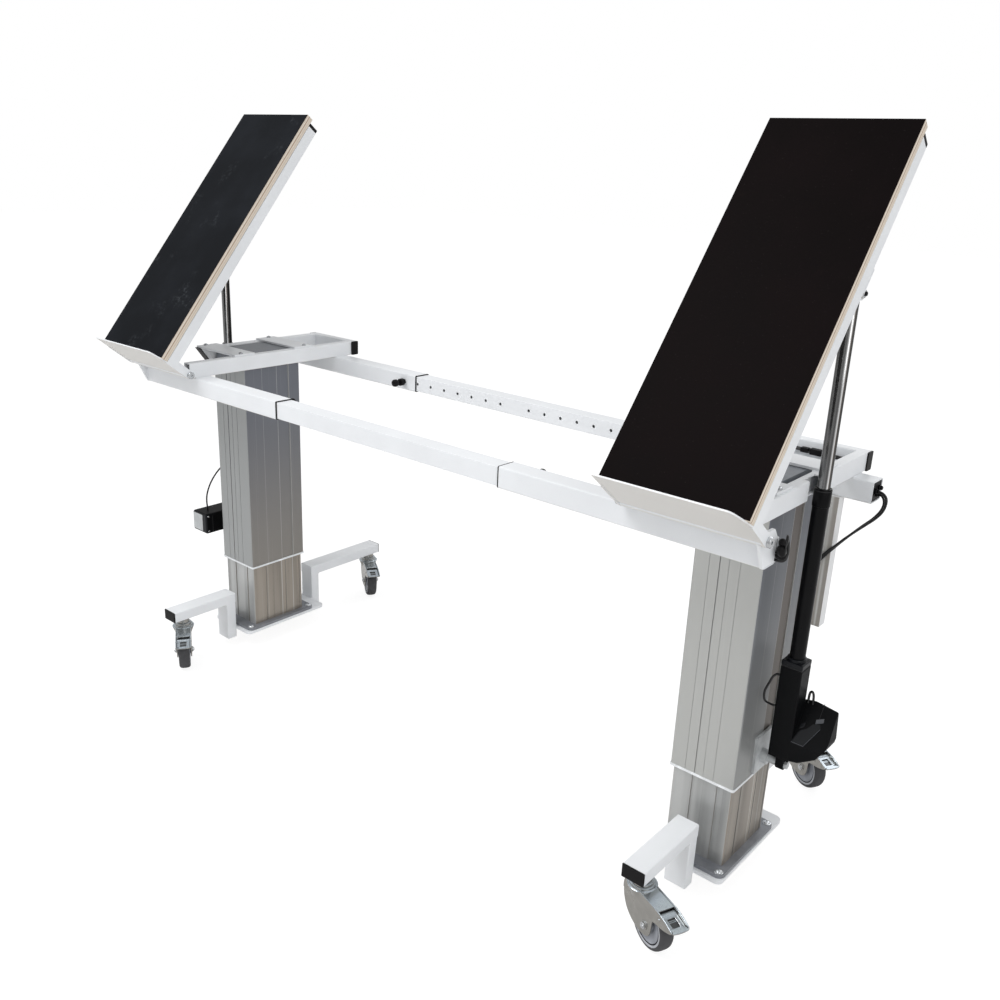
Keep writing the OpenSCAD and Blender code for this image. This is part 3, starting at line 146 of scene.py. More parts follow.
class Tree:
    """Node tree of one material, or of the sky."""

    def __init__(self, name: str, sky: bool = False) -> None:
        """Makes an empty material or world.

        Args:
            name: its name.
            sky: whether it is a world.
        """
        self.owner = (bpy.data.worlds if sky else bpy.data.materials).new(name)
        self.owner.use_nodes = True
        self.nodes = self.owner.node_tree.nodes
        self.links = self.owner.node_tree.links
        self.nodes.clear()

    def node(
        self, kind: str, settings: dict[str, object] | None = None, inputs: object = (), out: int | str = 0
    ) -> Socket:
        """Adds one node.

        Args:
            kind: the node's type.
            settings: its settings, set before its sockets; stops fill a colour ramp.
            inputs: values or links, as a list in order or a dict by socket name; None is left out.
            out: which output is wanted.

        Returns:
            The wanted output.
        """
        made = self.nodes.new(kind)
        for key, value in (settings or {}).items():
            if key == "stops":
                self._stops(made.color_ramp, value)
            else:
                setattr(made, key, value)
        pairs = inputs.items() if isinstance(inputs, dict) else enumerate(inputs)
        for key, value in pairs:
            target = made.inputs[key]
            if isinstance(value, Socket):
                self.links.new(value.link, target)
            elif value is not None:
                if target.type == "RGBA" and len(value) == 3:
                    value = (*value, 1.0)
                target.default_value = value
        return Socket(self, made.outputs[out] if made.outputs else None)

    @staticmethod
    def _stops(ramp: bpy.types.ColorRamp, stops: Stops) -> None:
        """Fills a colour ramp.

        Args:
            ramp: the ramp.
            stops: place and colour of each stop.
        """
        while len(ramp.elements) > 1:
            ramp.elements.remove(ramp.elements[-1])
        ramp.elements[0].position = stops[0][0]
        ramp.elements[0].color = (*stops[0][1], 1.0)
        for place, colour in stops[1:]:
            ramp.elements.new(place).color = (*colour, 1.0)

    def place(self) -> Socket:
        """Object coordinates, in metres."""
        return self.node("ShaderNodeTexCoord", out="Object")

    def facing(self) -> list[Socket]:
        """The three parts of the surface's direction, in object space."""
        return self.split(self.node("ShaderNodeTexCoord", out="Normal"))

    def split(self, vector: Socket) -> list[Socket]:
        """X, Y and Z of a vector."""
        made = self.node("ShaderNodeSeparateXYZ", {}, [vector]).link.node
        return [Socket(self, part) for part in made.outputs]

    def mapped(
        self, vector: Socket, scale: Point = (1, 1, 1), turn: Point = (0, 0, 0), shift: Point = (0, 0, 0)
    ) -> Socket:
        """A vector scaled, then turned by radians, then shifted by metres."""
        inputs = {"Vector": vector, "Location": shift, "Rotation": turn, "Scale": scale}
        return self.node("ShaderNodeMapping", {}, inputs)

    def noise(self, vector: Socket, scale: float, detail: float = 3.0, rough: float = 0.5) -> Socket:
        """Noise about 0.5, by its scale per metre, its levels of detail and their strength."""
        inputs = {"Vector": vector, "Scale": scale, "Detail": detail, "Roughness": rough}
        return self.node("ShaderNodeTexNoise", {}, inputs)

    def mix(self, factor: object, first: object, second: object, blend: str = "MIX") -> Socket:
        """Colour from the first, at factor 0, to the second or their blend, at factor 1."""
        settings = {"data_type": "RGBA", "blend_type": blend}
        return self.node("ShaderNodeMix", settings, {0: factor, 6: first, 7: second}, 2)

    def ramp(self, factor: Socket, stops: Stops) -> Socket:
        """Colour of a ramp, from the place and colour of each stop."""
        return self.node("ShaderNodeValToRGB", {"stops": stops}, [factor])

    def bump(self, height: Socket, depth: float) -> Socket:
        """Normal of a bumpy surface, from its pattern and the height of one unit, in metres."""
        return self.node("ShaderNodeBump", {}, {"Height": height, "Distance": depth})

    def surface(
        self,
        colour: Socket,
        rough: object,
        metal: float = 0.0,
        normal: Socket | None = None,
        specular: float = 0.5,
    ) -> Material:
        """Ends the tree in one shader.

        Args:
            colour: base colour.
            rough: roughness.
            metal: how metallic it is.
            normal: normal of a bump, if any.
            specular: level of the surface's gloss.

        Returns:
            The finished material.
        """
        inputs = {"Base Color": colour, "Roughness": rough, "Metallic": metal, "Normal": normal}
        shader = self.node("ShaderNodeBsdfPrincipled", {}, {**inputs, "Specular IOR Level": specular})
        self.node("ShaderNodeOutputMaterial", {}, {"Surface": shader})
        return self.owner


def dimmed(colour: Colour, factor: float) -> Colour:
    """A colour times a factor."""
    return tuple(c * factor for c in colour)


@dataclass(frozen=True)
class PowderCoat:
    """Semi-matt powder coat on welded steel."""

    name: str = "white_coat"
    colour: Colour = (0.84, 0.86, 0.885)
    # Colour of the painted shade on faces that look down; shade sets its strength.
    below: Colour = (0.62, 0.59, 0.54)
    roughness: float = 0.36
    shade: float = 0.75

    def make(self) -> Material:
        """Coat with a fine orange peel, faint clouds and a few specks, with painted shade underneath.

        Returns:
            The material.
        """
        t = Tree(self.name)
        p = t.place()
        clouds = t.noise(p, 9.0, 2.0)
        peel = t.noise(p, 420.0, 2.0)
        colour = t.mix(clouds.step(0.35, 0.7), dimmed(self.colour, 0.965), self.colour)
        specks = t.noise(p, 900.0, 0.0).step(0.78, 0.82)
        colour = t.mix(specks * 0.25, colour, dimmed(self.colour, 0.7))
        _, _, up = t.facing()
        # Faces that look down get a warm painted shade.
        under = (up * -1.0).step(0.35, 0.75)
        colour = t.mix(under * self.shade, colour, self.below)
        rough = peel * 0.1 + (self.roughness - 0.05)
        return t.surface(colour, rough, 0.0, t.bump(peel, 0.00002))


@dataclass(frozen=True)
class FoldedSheet:
    """Folded white sheet with a brushed surface; its front face carries painted shade and painted reflection."""

    name: str = "folded_sheet"
    colour: Colour = (0.80, 0.81, 0.82)
    # Colours of the painted shade and the painted reflection on the front face.
    brown: Colour = (0.30, 0.265, 0.23)
    silver: Colour = (0.62, 0.62, 0.60)

    def make(self) -> Material:
        """White sheet whose front has painted brown shade and painted silver reflection, in bands along its
        height.

        Returns:
            The material.
        """
        t = Tree(self.name)
        p = t.place()
        _, ny, _ = t.facing()
        brushed = t.noise(t.mapped(p, (1.0, 1.0, 0.01)), 900.0, 2.0)
        bands = t.noise(t.mapped(p, (1.0, 1.0, 0.02)), 95.0, 1.0)
        # Front faces get painted shade in brown and painted reflection in silver.
        painted_front_shade_and_reflection = t.mix(bands.step(0.4, 0.62), self.brown, self.silver)
        colour = t.mix((ny * -1.0).step(0.4, 0.8) * 0.8, self.colour, painted_front_shade_and_reflection)
        return t.surface(colour, brushed * 0.12 + 0.32, 0.1, t.bump(brushed, 0.00003))


@dataclass(frozen=True)
class MouldedPlastic:
    """Moulded plastic or rubber with a fine spark-eroded grain."""

    name: str
    colour: Colour
    roughness: float = 0.5
    depth: float = 0.00005
    specular: float = 0.4

    def make(self) -> Material:
        """Plastic with grain, slight clouds and duller worn patches.

        Returns:
            The material.
        """
        t = Tree(self.name)
        p = t.place()
        grain = t.noise(p, 1400.0, 1.0)
        wear = t.noise(p, 30.0, 4.0, 0.6)
        colour = t.mix(wear.step(0.45, 0.75), self.colour, dimmed(self.colour, 1.35))
        rough = wear * 0.18 + (self.roughness - 0.09)
        return t.surface(colour, rough, 0.0, t.bump(grain, self.depth), self.specular)


@dataclass(frozen=True)
class Zinc:
    """Pressed steel with bright zinc plating."""

    name: str = "zinc_plate"
    colour: Colour = (0.31, 0.30, 0.28)
    # Colour of the painted sky reflection on faces that look up.
    bright: Colour = (0.55, 0.61, 0.66)
    roughness: float = 0.22

    def make(self) -> Material:
        """Plating that is warm on upright faces, with a painted bluish sky reflection on faces that look up.

        Returns:
            The material.
        """
        t = Tree(self.name)
        p = t.place()
        _, _, up = t.facing()
        mottle = t.noise(p, 60.0, 3.0, 0.5)
        spangle = t.noise(p, 520.0, 2.0)
        base = t.mix(mottle.step(0.3, 0.72), dimmed(self.colour, 0.93), dimmed(self.colour, 1.05))
        # Faces that look up get a painted bluish reflection of the sky.
        colour = t.mix(up.step(0.2, 0.85), base, self.bright)
        rough = mottle * 0.16 + spangle * 0.05 + (self.roughness - 0.08)
        return t.surface(colour, rough, 0.92, t.bump(spangle, 0.00003))


@dataclass(frozen=True)
class Extrusion:
    """Anodised aluminium profile, drawn out along Z."""

    name: str
    # Front faces take the lit colour; the side faces take painted shade and reflection, at the top and at the
    # bottom.
    front: Colour
    side: Colour
    side_low: Colour
    roughness: float = 0.40
    bands: float = 0.0
    # Share and colour of the deeper painted shade in the side's recessed band, and colour of the painted
    # highlights at its groove edges.
    strip: float = 0.0
    channel: Colour = (0.11, 0.085, 0.065)
    pale: Colour = (0.52, 0.52, 0.5)

    def make(self) -> Material:
        """Profile with die lines; its side faces carry painted shade and reflection, lighter towards the bottom,
        with deeper painted shade in a recessed band and painted highlights at the groove edges.

        Returns:
            The material.
        """
        t = Tree(self.name)
        p = t.place()
        nx, _, _ = t.facing()
        _, y, z = t.split(p)
        lines = t.noise(t.mapped(p, (1.0, 1.0, 0.004)), 260.0, 2.0, 0.5)
        broad = t.noise(t.mapped(p, (1.0, 1.0, 0.05)), 24.0, 2.0)
        grain = t.noise(p, 1500.0, 1.0)
        # Painted shade and reflection on the side faces, lighter towards the bottom, with deeper painted shade
        # in the recessed band and painted highlights at the groove edges.
        side = t.mix(z.step(0.2, 0.8), self.side_low, self.side)
        at = (y - MIDDLE.y) / MM
        side = t.mix(at.between(14.0, 53.0) * self.strip, side, self.channel)
        edges = at.between(-38.6, -37.2) * 0.5 + at.between(11.8, 14.2) + at.between(53.0, 55.4)
        side = t.mix(edges * 0.7, side, self.pale)
        # Side faces get the painted shade colours; front faces keep the lit colour.
        colour = t.mix(abs(nx).step(0.45, 0.85), self.front, side)
        shade = t.mix(broad.step(0.3, 0.7), (0.5 - self.bands,) * 3, (0.5 + self.bands,) * 3)
        colour = t.mix(1.0, colour, shade, "OVERLAY")
        colour = t.mix(lines.step(0.6, 0.8) * 0.1, colour, (0.85, 0.85, 0.85))
        rough = lines * 0.14 + grain * 0.08 + (self.roughness - 0.1)
        return t.surface(colour, rough, 0.45, t.bump(lines, 0.00003))


@dataclass(frozen=True)
class PolishedRod:
    """Polished steel rod, its mirror finish shown as sharp bright and dark painted reflection bands."""

    name: str = "polished_rod"

    def make(self) -> Material:
        """Rod with length-wise painted reflection bands by the direction of its surface.

        Returns:
            The material.
        """
        t = Tree(self.name)
        p = t.place()
        nx, ny, _ = t.facing()
        across = nx * 0.77 + ny * 0.64
        fine = t.noise(t.mapped(p, (1.0, 1.0, 4.0)), 500.0, 2.0)
        # Painted reflection: grey, dark, black and light bands by the surface's facing.
        grey, dark, black, light = (0.27,) * 3, (0.10,) * 3, (0.012,) * 3, (0.9,) * 3
        stops = [
            (0.0, dark), (0.14, grey), (0.36, (0.18,) * 3), (0.47, dark), (0.53, grey), (0.6, light),
            (0.665, light), (0.69, (0.16, 0.13, 0.11)), (0.8, dark), (0.87, black), (1.0, black),
        ]
        bands = t.ramp(across * 0.5 + 0.5 + fine * 0.012, stops)
        return t.surface(bands, fine * 0.08 + 0.1, 0.85)


@dataclass(frozen=True)
class FilmFace:
    """Dark phenolic film on the board's faces."""

    name: str
    colour: Colour
    scuff: Colour
    scuffs: float

    def make(self) -> Material:
        """Film with faint clouds, dust specks and scuffed patches.

        Returns:
            The material.
        """
        t = Tree(self.name)
        p = t.place()
        clouds = t.noise(p, 5.0, 4.0, 0.6)
        specks = t.noise(p, 480.0, 1.0).step(0.74, 0.8)
        patches = t.noise(p, 11.0, 3.0).step(0.58, 0.74) * t.noise(p, 90.0, 5.0, 0.75).step(0.46, 0.7)
        colour = t.mix(clouds.step(0.35, 0.7), dimmed(self.colour, 0.75), dimmed(self.colour, 1.2))
        colour = t.mix(patches * self.scuffs, colour, self.scuff)
        colour = t.mix(specks * 0.2, colour, (0.12, 0.1, 0.1))
        weave = t.noise(p, 1100.0, 1.0)
        rough = clouds * 0.16 + patches * 0.1 + 0.42
        return t.surface(colour, rough, 0.0, t.bump(weave, 0.00004), 0.03)


@dataclass(frozen=True)
class PlyEdge:
    """Sawn plywood edge, its layers lying in the tilted board."""

    name: str = "ply_edge"
    top: float = 96.3
    thick: float = 20.0

    def make(self) -> Material:
        """Edge with cream and brown layers, fibres and saw marks.

        Returns:
            The material.
        """
        t = Tree(self.name)
        hinge = Vector((0.0, HINGE_Y * MM, HINGE_Z * MM)) + MIDDLE
        back = -(Matrix.Rotation(-TILT, 3, "X") @ hinge)
        p = t.mapped(t.place(), turn=(-TILT, 0.0, 0.0), shift=tuple(back))
        _, _, z = t.split(p)
        wave = t.noise(t.mapped(p, (30.0, 30.0, 300.0)), 1.0, 2.0)
        depth = (self.top * MM - z) / (self.thick * MM) + (wave - 0.5) * 0.035
        cream, pale = (0.72, 0.62, 0.51), (0.80, 0.73, 0.64)
        brown, film = (0.40, 0.27, 0.19), (0.03, 0.02, 0.02)
        stops = [
            (0.0, film), (0.035, cream), (0.2, pale), (0.31, pale), (0.36, brown), (0.43, brown),
            (0.47, cream), (0.6, pale), (0.7, (0.62, 0.53, 0.44)), (0.74, cream), (0.86, pale),
            (0.955, cream), (0.97, film),
        ]
        layers = t.ramp(depth, stops)
        fibre = t.noise(t.mapped(p, (60.0, 60.0, 2500.0)), 1.0, 4.0, 0.7)
        colour = t.mix(fibre.step(0.35, 0.75) * 0.35, layers, (0.42, 0.33, 0.25))
        saw = t.noise(t.mapped(p, (900.0, 900.0, 120.0)), 1.0, 2.0)
        return t.surface(colour, 0.75, 0.0, t.bump(fibre + saw * 0.6, 0.0002), 0.25)


@dataclass(frozen=True)
class MachinedGrey:
    """Cast or machined light metal."""

    name: str
    colour: Colour
    metal: float = 0.3

    def make(self) -> Material:
        """Metal with tool marks and faint stains.

        Returns:
            The material.
        """
        t = Tree(self.name)
        p = t.place()
        stain = t.noise(p, 40.0, 4.0, 0.6)
        marks = t.noise(t.mapped(p, (1.0, 0.1, 1.0)), 700.0, 2.0)
        colour = t.mix(stain.step(0.35, 0.7), dimmed(self.colour, 0.86), dimmed(self.colour, 1.06))
        return t.surface(colour, stain * 0.2 + marks * 0.08 + 0.3, self.metal, t.bump(marks, 0.00006))


FINISHES: dict[str, Callable[[], Material]] = {
    "white": PowderCoat().make,
    "sheet": FoldedSheet().make,
    "black": MouldedPlastic("black_cap", (0.004, 0.0035, 0.004), 0.46, specular=0.15).make,
    "housing": MouldedPlastic("motor_housing", (0.0028, 0.0031, 0.0037), 0.46, 0.00009, 0.1).make,
    "panel": MouldedPlastic("motor_panel", (0.006, 0.007, 0.009), 0.34, 0.00004, 0.2).make,
    "tube_black": MouldedPlastic("tube_black", (0.0025, 0.0025, 0.003), 0.30, 0.00002, 0.12).make,
    "cable": MouldedPlastic("cable_jacket", (0.006, 0.006, 0.0065), 0.32, specular=0.45).make,
    "glide": MouldedPlastic("glide_white", (0.78, 0.8, 0.82), 0.4).make,
    "core": MouldedPlastic("wheel_core", (0.28, 0.295, 0.33), 0.42).make,
    "ring": MouldedPlastic("wheel_ring", (0.40, 0.415, 0.445), 0.45).make,
    "tread": MouldedPlastic("wheel_tread", (0.05, 0.05, 0.054), 0.6).make,
    # Near-black: painted shade in the wheel's groove; real dark seams and joints elsewhere.
    "gap": MouldedPlastic("dark_gap", (0.012, 0.012, 0.013), 0.7).make,
    # Lighter plastic for the motor panel's edge line and its latch: painted highlights.
    "glint": MouldedPlastic("moulding_edge", (0.06, 0.065, 0.075), 0.3, specular=0.5).make,
    "zinc": Zinc().make,
    # Darker zinc for the pedal's window: painted shade.
    "window": Zinc("pedal_dark", (0.10, 0.10, 0.105), (0.13, 0.135, 0.14), 0.32).make,
    "bolt": Zinc("bolt_bright", (0.50, 0.51, 0.52), (0.74, 0.77, 0.8), 0.2).make,
    "rod": PolishedRod().make,
    "plate": MachinedGrey("base_plate_grey", (0.24, 0.25, 0.275)).make,
    "head": MachinedGrey("head_grey", (0.20, 0.215, 0.24)).make,
    "bracket": MachinedGrey("bracket_light", (0.55, 0.57, 0.58), 0.35).make,
    # Each outer column has its own colours: painted lit and shaded copies of one anodised finish.
    "outer_right": Extrusion(
        "outer_right", (0.47, 0.475, 0.46), (0.13, 0.14, 0.16), (0.30, 0.305, 0.30), strip=0.8
    ).make,
    "outer_left": Extrusion("outer_left", (0.36, 0.37, 0.37), (0.16, 0.17, 0.195), (0.25, 0.235, 0.215)).make,
    "inner": Extrusion(
        "inner_profile", (0.40, 0.405, 0.40), (0.26, 0.22, 0.18), (0.28, 0.25, 0.215), 0.30, 0.12
    ).make,
    "film_right": FilmFace("film_brown", (0.0038, 0.0020, 0.0022), (0.012, 0.008, 0.008), 0.35).make,
    "film_left": FilmFace("film_slate", (0.0105, 0.0120, 0.0150), (0.05, 0.055, 0.062), 0.9).make,
    "ply": PlyEdge().make,
}


@cache
def finish(key: str) -> Material:
    """A finish by its key, made once."""
    return FINISHES[key]()


# ---------------------------------------------------------------- workshop


def only(*objects: Piece) -> Piece:
    """Selects these objects alone.

    Args:
        objects: the objects; the first becomes the active one.

    Returns:
        The active object.
    """
    bpy.ops.object.select_all(action="DESELECT")
    for o in objects:
        o.select_set(True)
    bpy.context.view_layer.objects.active = objects[0]
    return objects[0]


def dress(obj: Piece, key: str) -> Piece:
    """Gives a piece one finish.

    Args:
        obj: the piece.
        key: the finish.

    Returns:
        The piece.
    """
    obj.data.materials.clear()
    obj.data.materials.append(finish(key))
    return obj


def modify(obj: Piece, kind: str, **settings: object) -> Piece:
    """Adds a modifier and applies it.

    Args:
        obj: the piece.
        kind: the modifier's type.
        settings: its settings.

    Returns:
        The piece.
    """
    only(obj)
    made = obj.modifiers.new(kind.lower(), kind)
    for key, value in settings.items():
        setattr(made, key, value)
    bpy.ops.object.modifier_apply(modifier=made.name)
    return obj


def soften(obj: Piece, width: float, steps: int = 3, angle: float = 30.0) -> Piece:
    """Rounds the edges of a piece that are sharper than an angle in degrees."""
    limit = math.radians(angle)
    return modify(obj, "BEVEL", width=width, segments=steps, limit_method="ANGLE", angle_limit=limit)


def outlined(points: Iterable[Sequence[float]], count: int, fill: str) -> Piece:
    """A closed line of points.

    Args:
        points: their coordinates.
        count: their number.
        fill: how the line is filled.

    Returns:
        The piece.
    """
    bpy.ops.object.select_all(action="DESELECT")
    bpy.ops.mesh.primitive_circle_add(vertices=count, fill_type=fill, location=(0, 0, 0))
    obj = bpy.context.object
    for vertex, co in zip(obj.data.vertices, points):
        vertex.co = co
    return obj


@contextmanager
def edited() -> Iterator[None]:
    """Edit mode with the whole mesh selected; its faces are turned out at the end.

    Yields:
        Nothing, while the mesh is edited.
    """
    bpy.ops.object.mode_set(mode="EDIT")
    bpy.ops.mesh.select_all(action="SELECT")
    yield
    bpy.ops.mesh.normals_make_consistent(inside=False)
    bpy.ops.object.mode_set(mode="OBJECT")


def block(low: Point, high: Point, key: str, edge: float = 0.0, steps: int = 3) -> Piece:
    """A block with rounded edges.

    Args:
        low: its lowest corner.
        high: its highest corner.
        key: its finish.
        edge: width of the edge rounding.
        steps: segments of the rounding.

    Returns:
        The piece.
    """
    size = [h - l for l, h in zip(low, high)]
    middle = [(h + l) / 2 for l, h in zip(low, high)]
    bpy.ops.object.select_all(action="DESELECT")
    bpy.ops.mesh.primitive_cube_add(size=1.0, location=middle, scale=size)
    obj = bpy.context.object
    bpy.ops.object.transform_apply(location=True, rotation=True, scale=True)
    if edge:
        soften(obj, edge, steps)
    return dress(obj, key)


def prism(
    outline: Outline,
    low: float,
    high: float,
    axis: Axis,
    key: str,
    edge: float = 0.0,
    steps: int = 2,
    angle: float = 30.0,
) -> Piece:
    """An outline drawn out along an axis.

    Args:
        outline: points in the two other axes, in their order.
        low: where it starts along the axis.
        high: where it ends.
        axis: the axis.
        key: its finish.
        edge: width of the edge rounding.
        steps: segments of the rounding.
        angle: smallest angle of a rounded edge, in degrees.

    Returns:
        The piece.
    """
    n = axis.value
    obj = outlined(((*p[:n], low, *p[n:]) for p in outline), len(outline), "NGON")
    along = [0.0, 0.0, 0.0]
    along[n] = high - low
    with edited():
        bpy.ops.mesh.extrude_region_move(TRANSFORM_OT_translate={"value": along})
        bpy.ops.mesh.select_all(action="SELECT")
    if edge:
        soften(obj, edge, steps, angle)
    return dress(obj, key)


def turned(profile: Outline, key: str, steps: int = 48, closed: bool = False) -> Piece:
    """A piece turned round the Z axis.

    Args:
        profile: radius and height of each point.
        key: its finish.
        steps: number of sides.
        closed: whether the last point joins the first.

    Returns:
        The piece, standing on the origin's axis.
    """
    obj = outlined(((r, 0.0, h) for r, h in profile), len(profile), "NOTHING")
    if not closed:
        bpy.ops.object.mode_set(mode="EDIT")
        bpy.ops.mesh.select_all(action="DESELECT")
        bpy.ops.object.mode_set(mode="OBJECT")
        last = len(profile) - 1
        for e in obj.data.edges:
            e.select = set(e.vertices) == {0, last}
        bpy.ops.object.mode_set(mode="EDIT")
        bpy.ops.mesh.select_mode(type="EDGE")
        bpy.ops.mesh.delete(type="EDGE")
        bpy.ops.mesh.select_mode(type="VERT")
        bpy.ops.object.mode_set(mode="OBJECT")
    with edited():
        bpy.ops.mesh.spin(steps=steps, angle=math.tau, center=(0, 0, 0), axis=(0, 0, 1))
        bpy.ops.mesh.select_all(action="SELECT")
        bpy.ops.mesh.remove_doubles(threshold=0.002)
    bpy.ops.object.shade_smooth_by_angle(angle=math.radians(35))
    return dress(obj, key)


def tube(
    points: Sequence[Point], radius: float, key: str, sides: int = 4, pull: Sequence[float] = ()
) -> Piece:
    """A round tube along a line.

    Args:
        points: the line's points.
        radius: the tube's radius.
        key: its finish.
        sides: resolution of its section.
        pull: factor of the radius at each point, if it changes.

    Returns:
        The piece, as a mesh.
    """
    data = bpy.data.curves.new("line", "CURVE")
    data.dimensions = "3D"
    data.bevel_depth = radius
    data.bevel_resolution = sides
    data.use_fill_caps = True
    line = data.splines.new("POLY")
    line.points.add(len(points) - 1)
    for i, (target, co) in enumerate(zip(line.points, points)):
        target.co = (*co, 1.0)
        if pull:
            target.radius = pull[i]
    obj = bpy.data.objects.new("line", data)
    bpy.context.scene.collection.objects.link(obj)
    only(obj)
    bpy.ops.object.convert(target="MESH")
    obj = bpy.context.object
    bpy.ops.object.shade_smooth_by_angle(angle=math.radians(60))
    return dress(obj, key)


def smooth_line(points: Sequence[Point], steps: int = 6) -> list[Point]:
    """Points of a smooth line through the given ones.

    Args:
        points: points to pass through.
        steps: new points for each span.

    Returns:
        The line's points.
    """
    out: list[Point] = []
    p = [Vector(q) for q in points]
    for i in range(len(p) - 1):
        a, b, c, d = p[max(i - 1, 0)], p[i], p[i + 1], p[min(i + 2, len(p) - 1)]
        for k in range(steps):
            u = k / steps
            square, cube = (2 * a - 5 * b + 4 * c - d) * u * u, (3 * b - a - 3 * c + d) * u**3
            out.append(tuple(0.5 * (2 * b + (c - a) * u + square + cube)))
    out.append(tuple(p[-1]))
    return out


def smooth_line_2d(points: Outline) -> list[tuple[float, float]]:
    """A smooth line through points in a plane."""
    return [(x, z) for x, _, z in smooth_line([(a, 0.0, b) for a, b in points], 4)]


def rounded_outline(points: Outline, steps: int = 4) -> list[tuple[float, float]]:
    """An outline whose corners are cut to a smooth curve.

    Args:
        points: the corners.
        steps: how often the corners are cut.

    Returns:
        The smoother outline.
    """
    now = [Vector(q) for q in points]
    for _ in range(steps):
        nxt = []
        for i, a in enumerate(now):
            b = now[(i + 1) % len(now)]
            nxt += [a.lerp(b, 0.25), a.lerp(b, 0.75)]
        now = nxt
    return [tuple(q) for q in now]


def hex_points(radius: float) -> list[tuple[float, float]]:
    """Corners of a hexagon."""
    return [(radius * math.cos(k * math.pi / 3), radius * math.sin(k * math.pi / 3)) for k in range(6)]


def moved(obj: Piece, matrix: Matrix) -> Piece:
    """Applies a matrix to a piece's mesh, turning its faces out again if it mirrors.

    Args:
        obj: the piece.
        matrix: the matrix.

    Returns:
        The piece.
    """
    obj.data.transform(matrix)
    if matrix.determinant() < 0:
        obj.data.flip_normals()
    return obj


def laid(axis: Axis, at: Point, sign: int = 1) -> Matrix:
    """Matrix that lays a turned piece, its foot at a point, along X or Y or, with sign -1, against it."""
    degrees, about = (90, "Y") if axis is Axis.X else (-90, "X")
    return Matrix.Translation(at) @ Matrix.Rotation(math.radians(degrees * sign), 4, about)


def cut(obj: Piece, *cutters: Piece) -> Piece:
    """Cuts pieces out of a piece.

    Args:
        obj: the piece.
        cutters: what is cut out; they are removed.

    Returns:
        The piece.
    """
    for c in cutters:
        modify(obj, "BOOLEAN", object=c, operation="DIFFERENCE", solver="EXACT")
        bpy.data.objects.remove(c)
    return obj


def joined(parts: Pieces) -> Piece:
    """Joins pieces into one, each keeping its finish.

    Args:
        parts: the pieces.

    Returns:
        The one piece.
    """
    parts = list(parts)
    obj = only(*parts)
    if len(parts) > 1:
        bpy.ops.object.join()
    return obj


def settle(
    parts: Pieces,
    name: str,
    body: str,
    slot: str,
    replaces: Sequence[str] = (),
    place: Matrix | None = None,
) -> Piece:
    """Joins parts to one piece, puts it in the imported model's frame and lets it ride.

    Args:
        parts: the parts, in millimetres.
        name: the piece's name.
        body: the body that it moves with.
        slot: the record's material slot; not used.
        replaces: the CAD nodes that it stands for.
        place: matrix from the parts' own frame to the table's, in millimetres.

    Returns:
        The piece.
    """
    obj = joined(parts)
    obj.name = name
    obj.data.name = name
    moved(obj, place or Matrix.Identity(4))
    obj.data.transform(Matrix.Translation(MIDDLE) @ Matrix.Scale(MM, 4))
    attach(obj, body)
    if replaces:
        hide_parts(*replaces)
    LOG.info("%s rides on %s", name, body)
    return obj


def bead(points: Sequence[Point], radius: float, seed: int) -> Piece:
    """A weld bead with scales, painted over.

    Args:
        points: ends of its straight runs.
        radius: its mean radius.
        seed: seed of its unevenness.

    Returns:
        The piece.
    """
    rng = random.Random(seed)
    line: list[Point] = []
    for a, b in zip(points, points[1:]):
        a, b = Vector(a), Vector(b)
        n = max(2, int((b - a).length / 1.6))
        line += [tuple(a.lerp(b, k / n)) for k in range(n)]
    line.append(tuple(points[-1]))
    pull = [(1.0 if i % 2 else 0.78) * rng.uniform(0.9, 1.1) for i in range(len(line))]
    return tube(line, radius, "white", 2, pull)


# ---------------------------------------------------------------- sub-assemblies


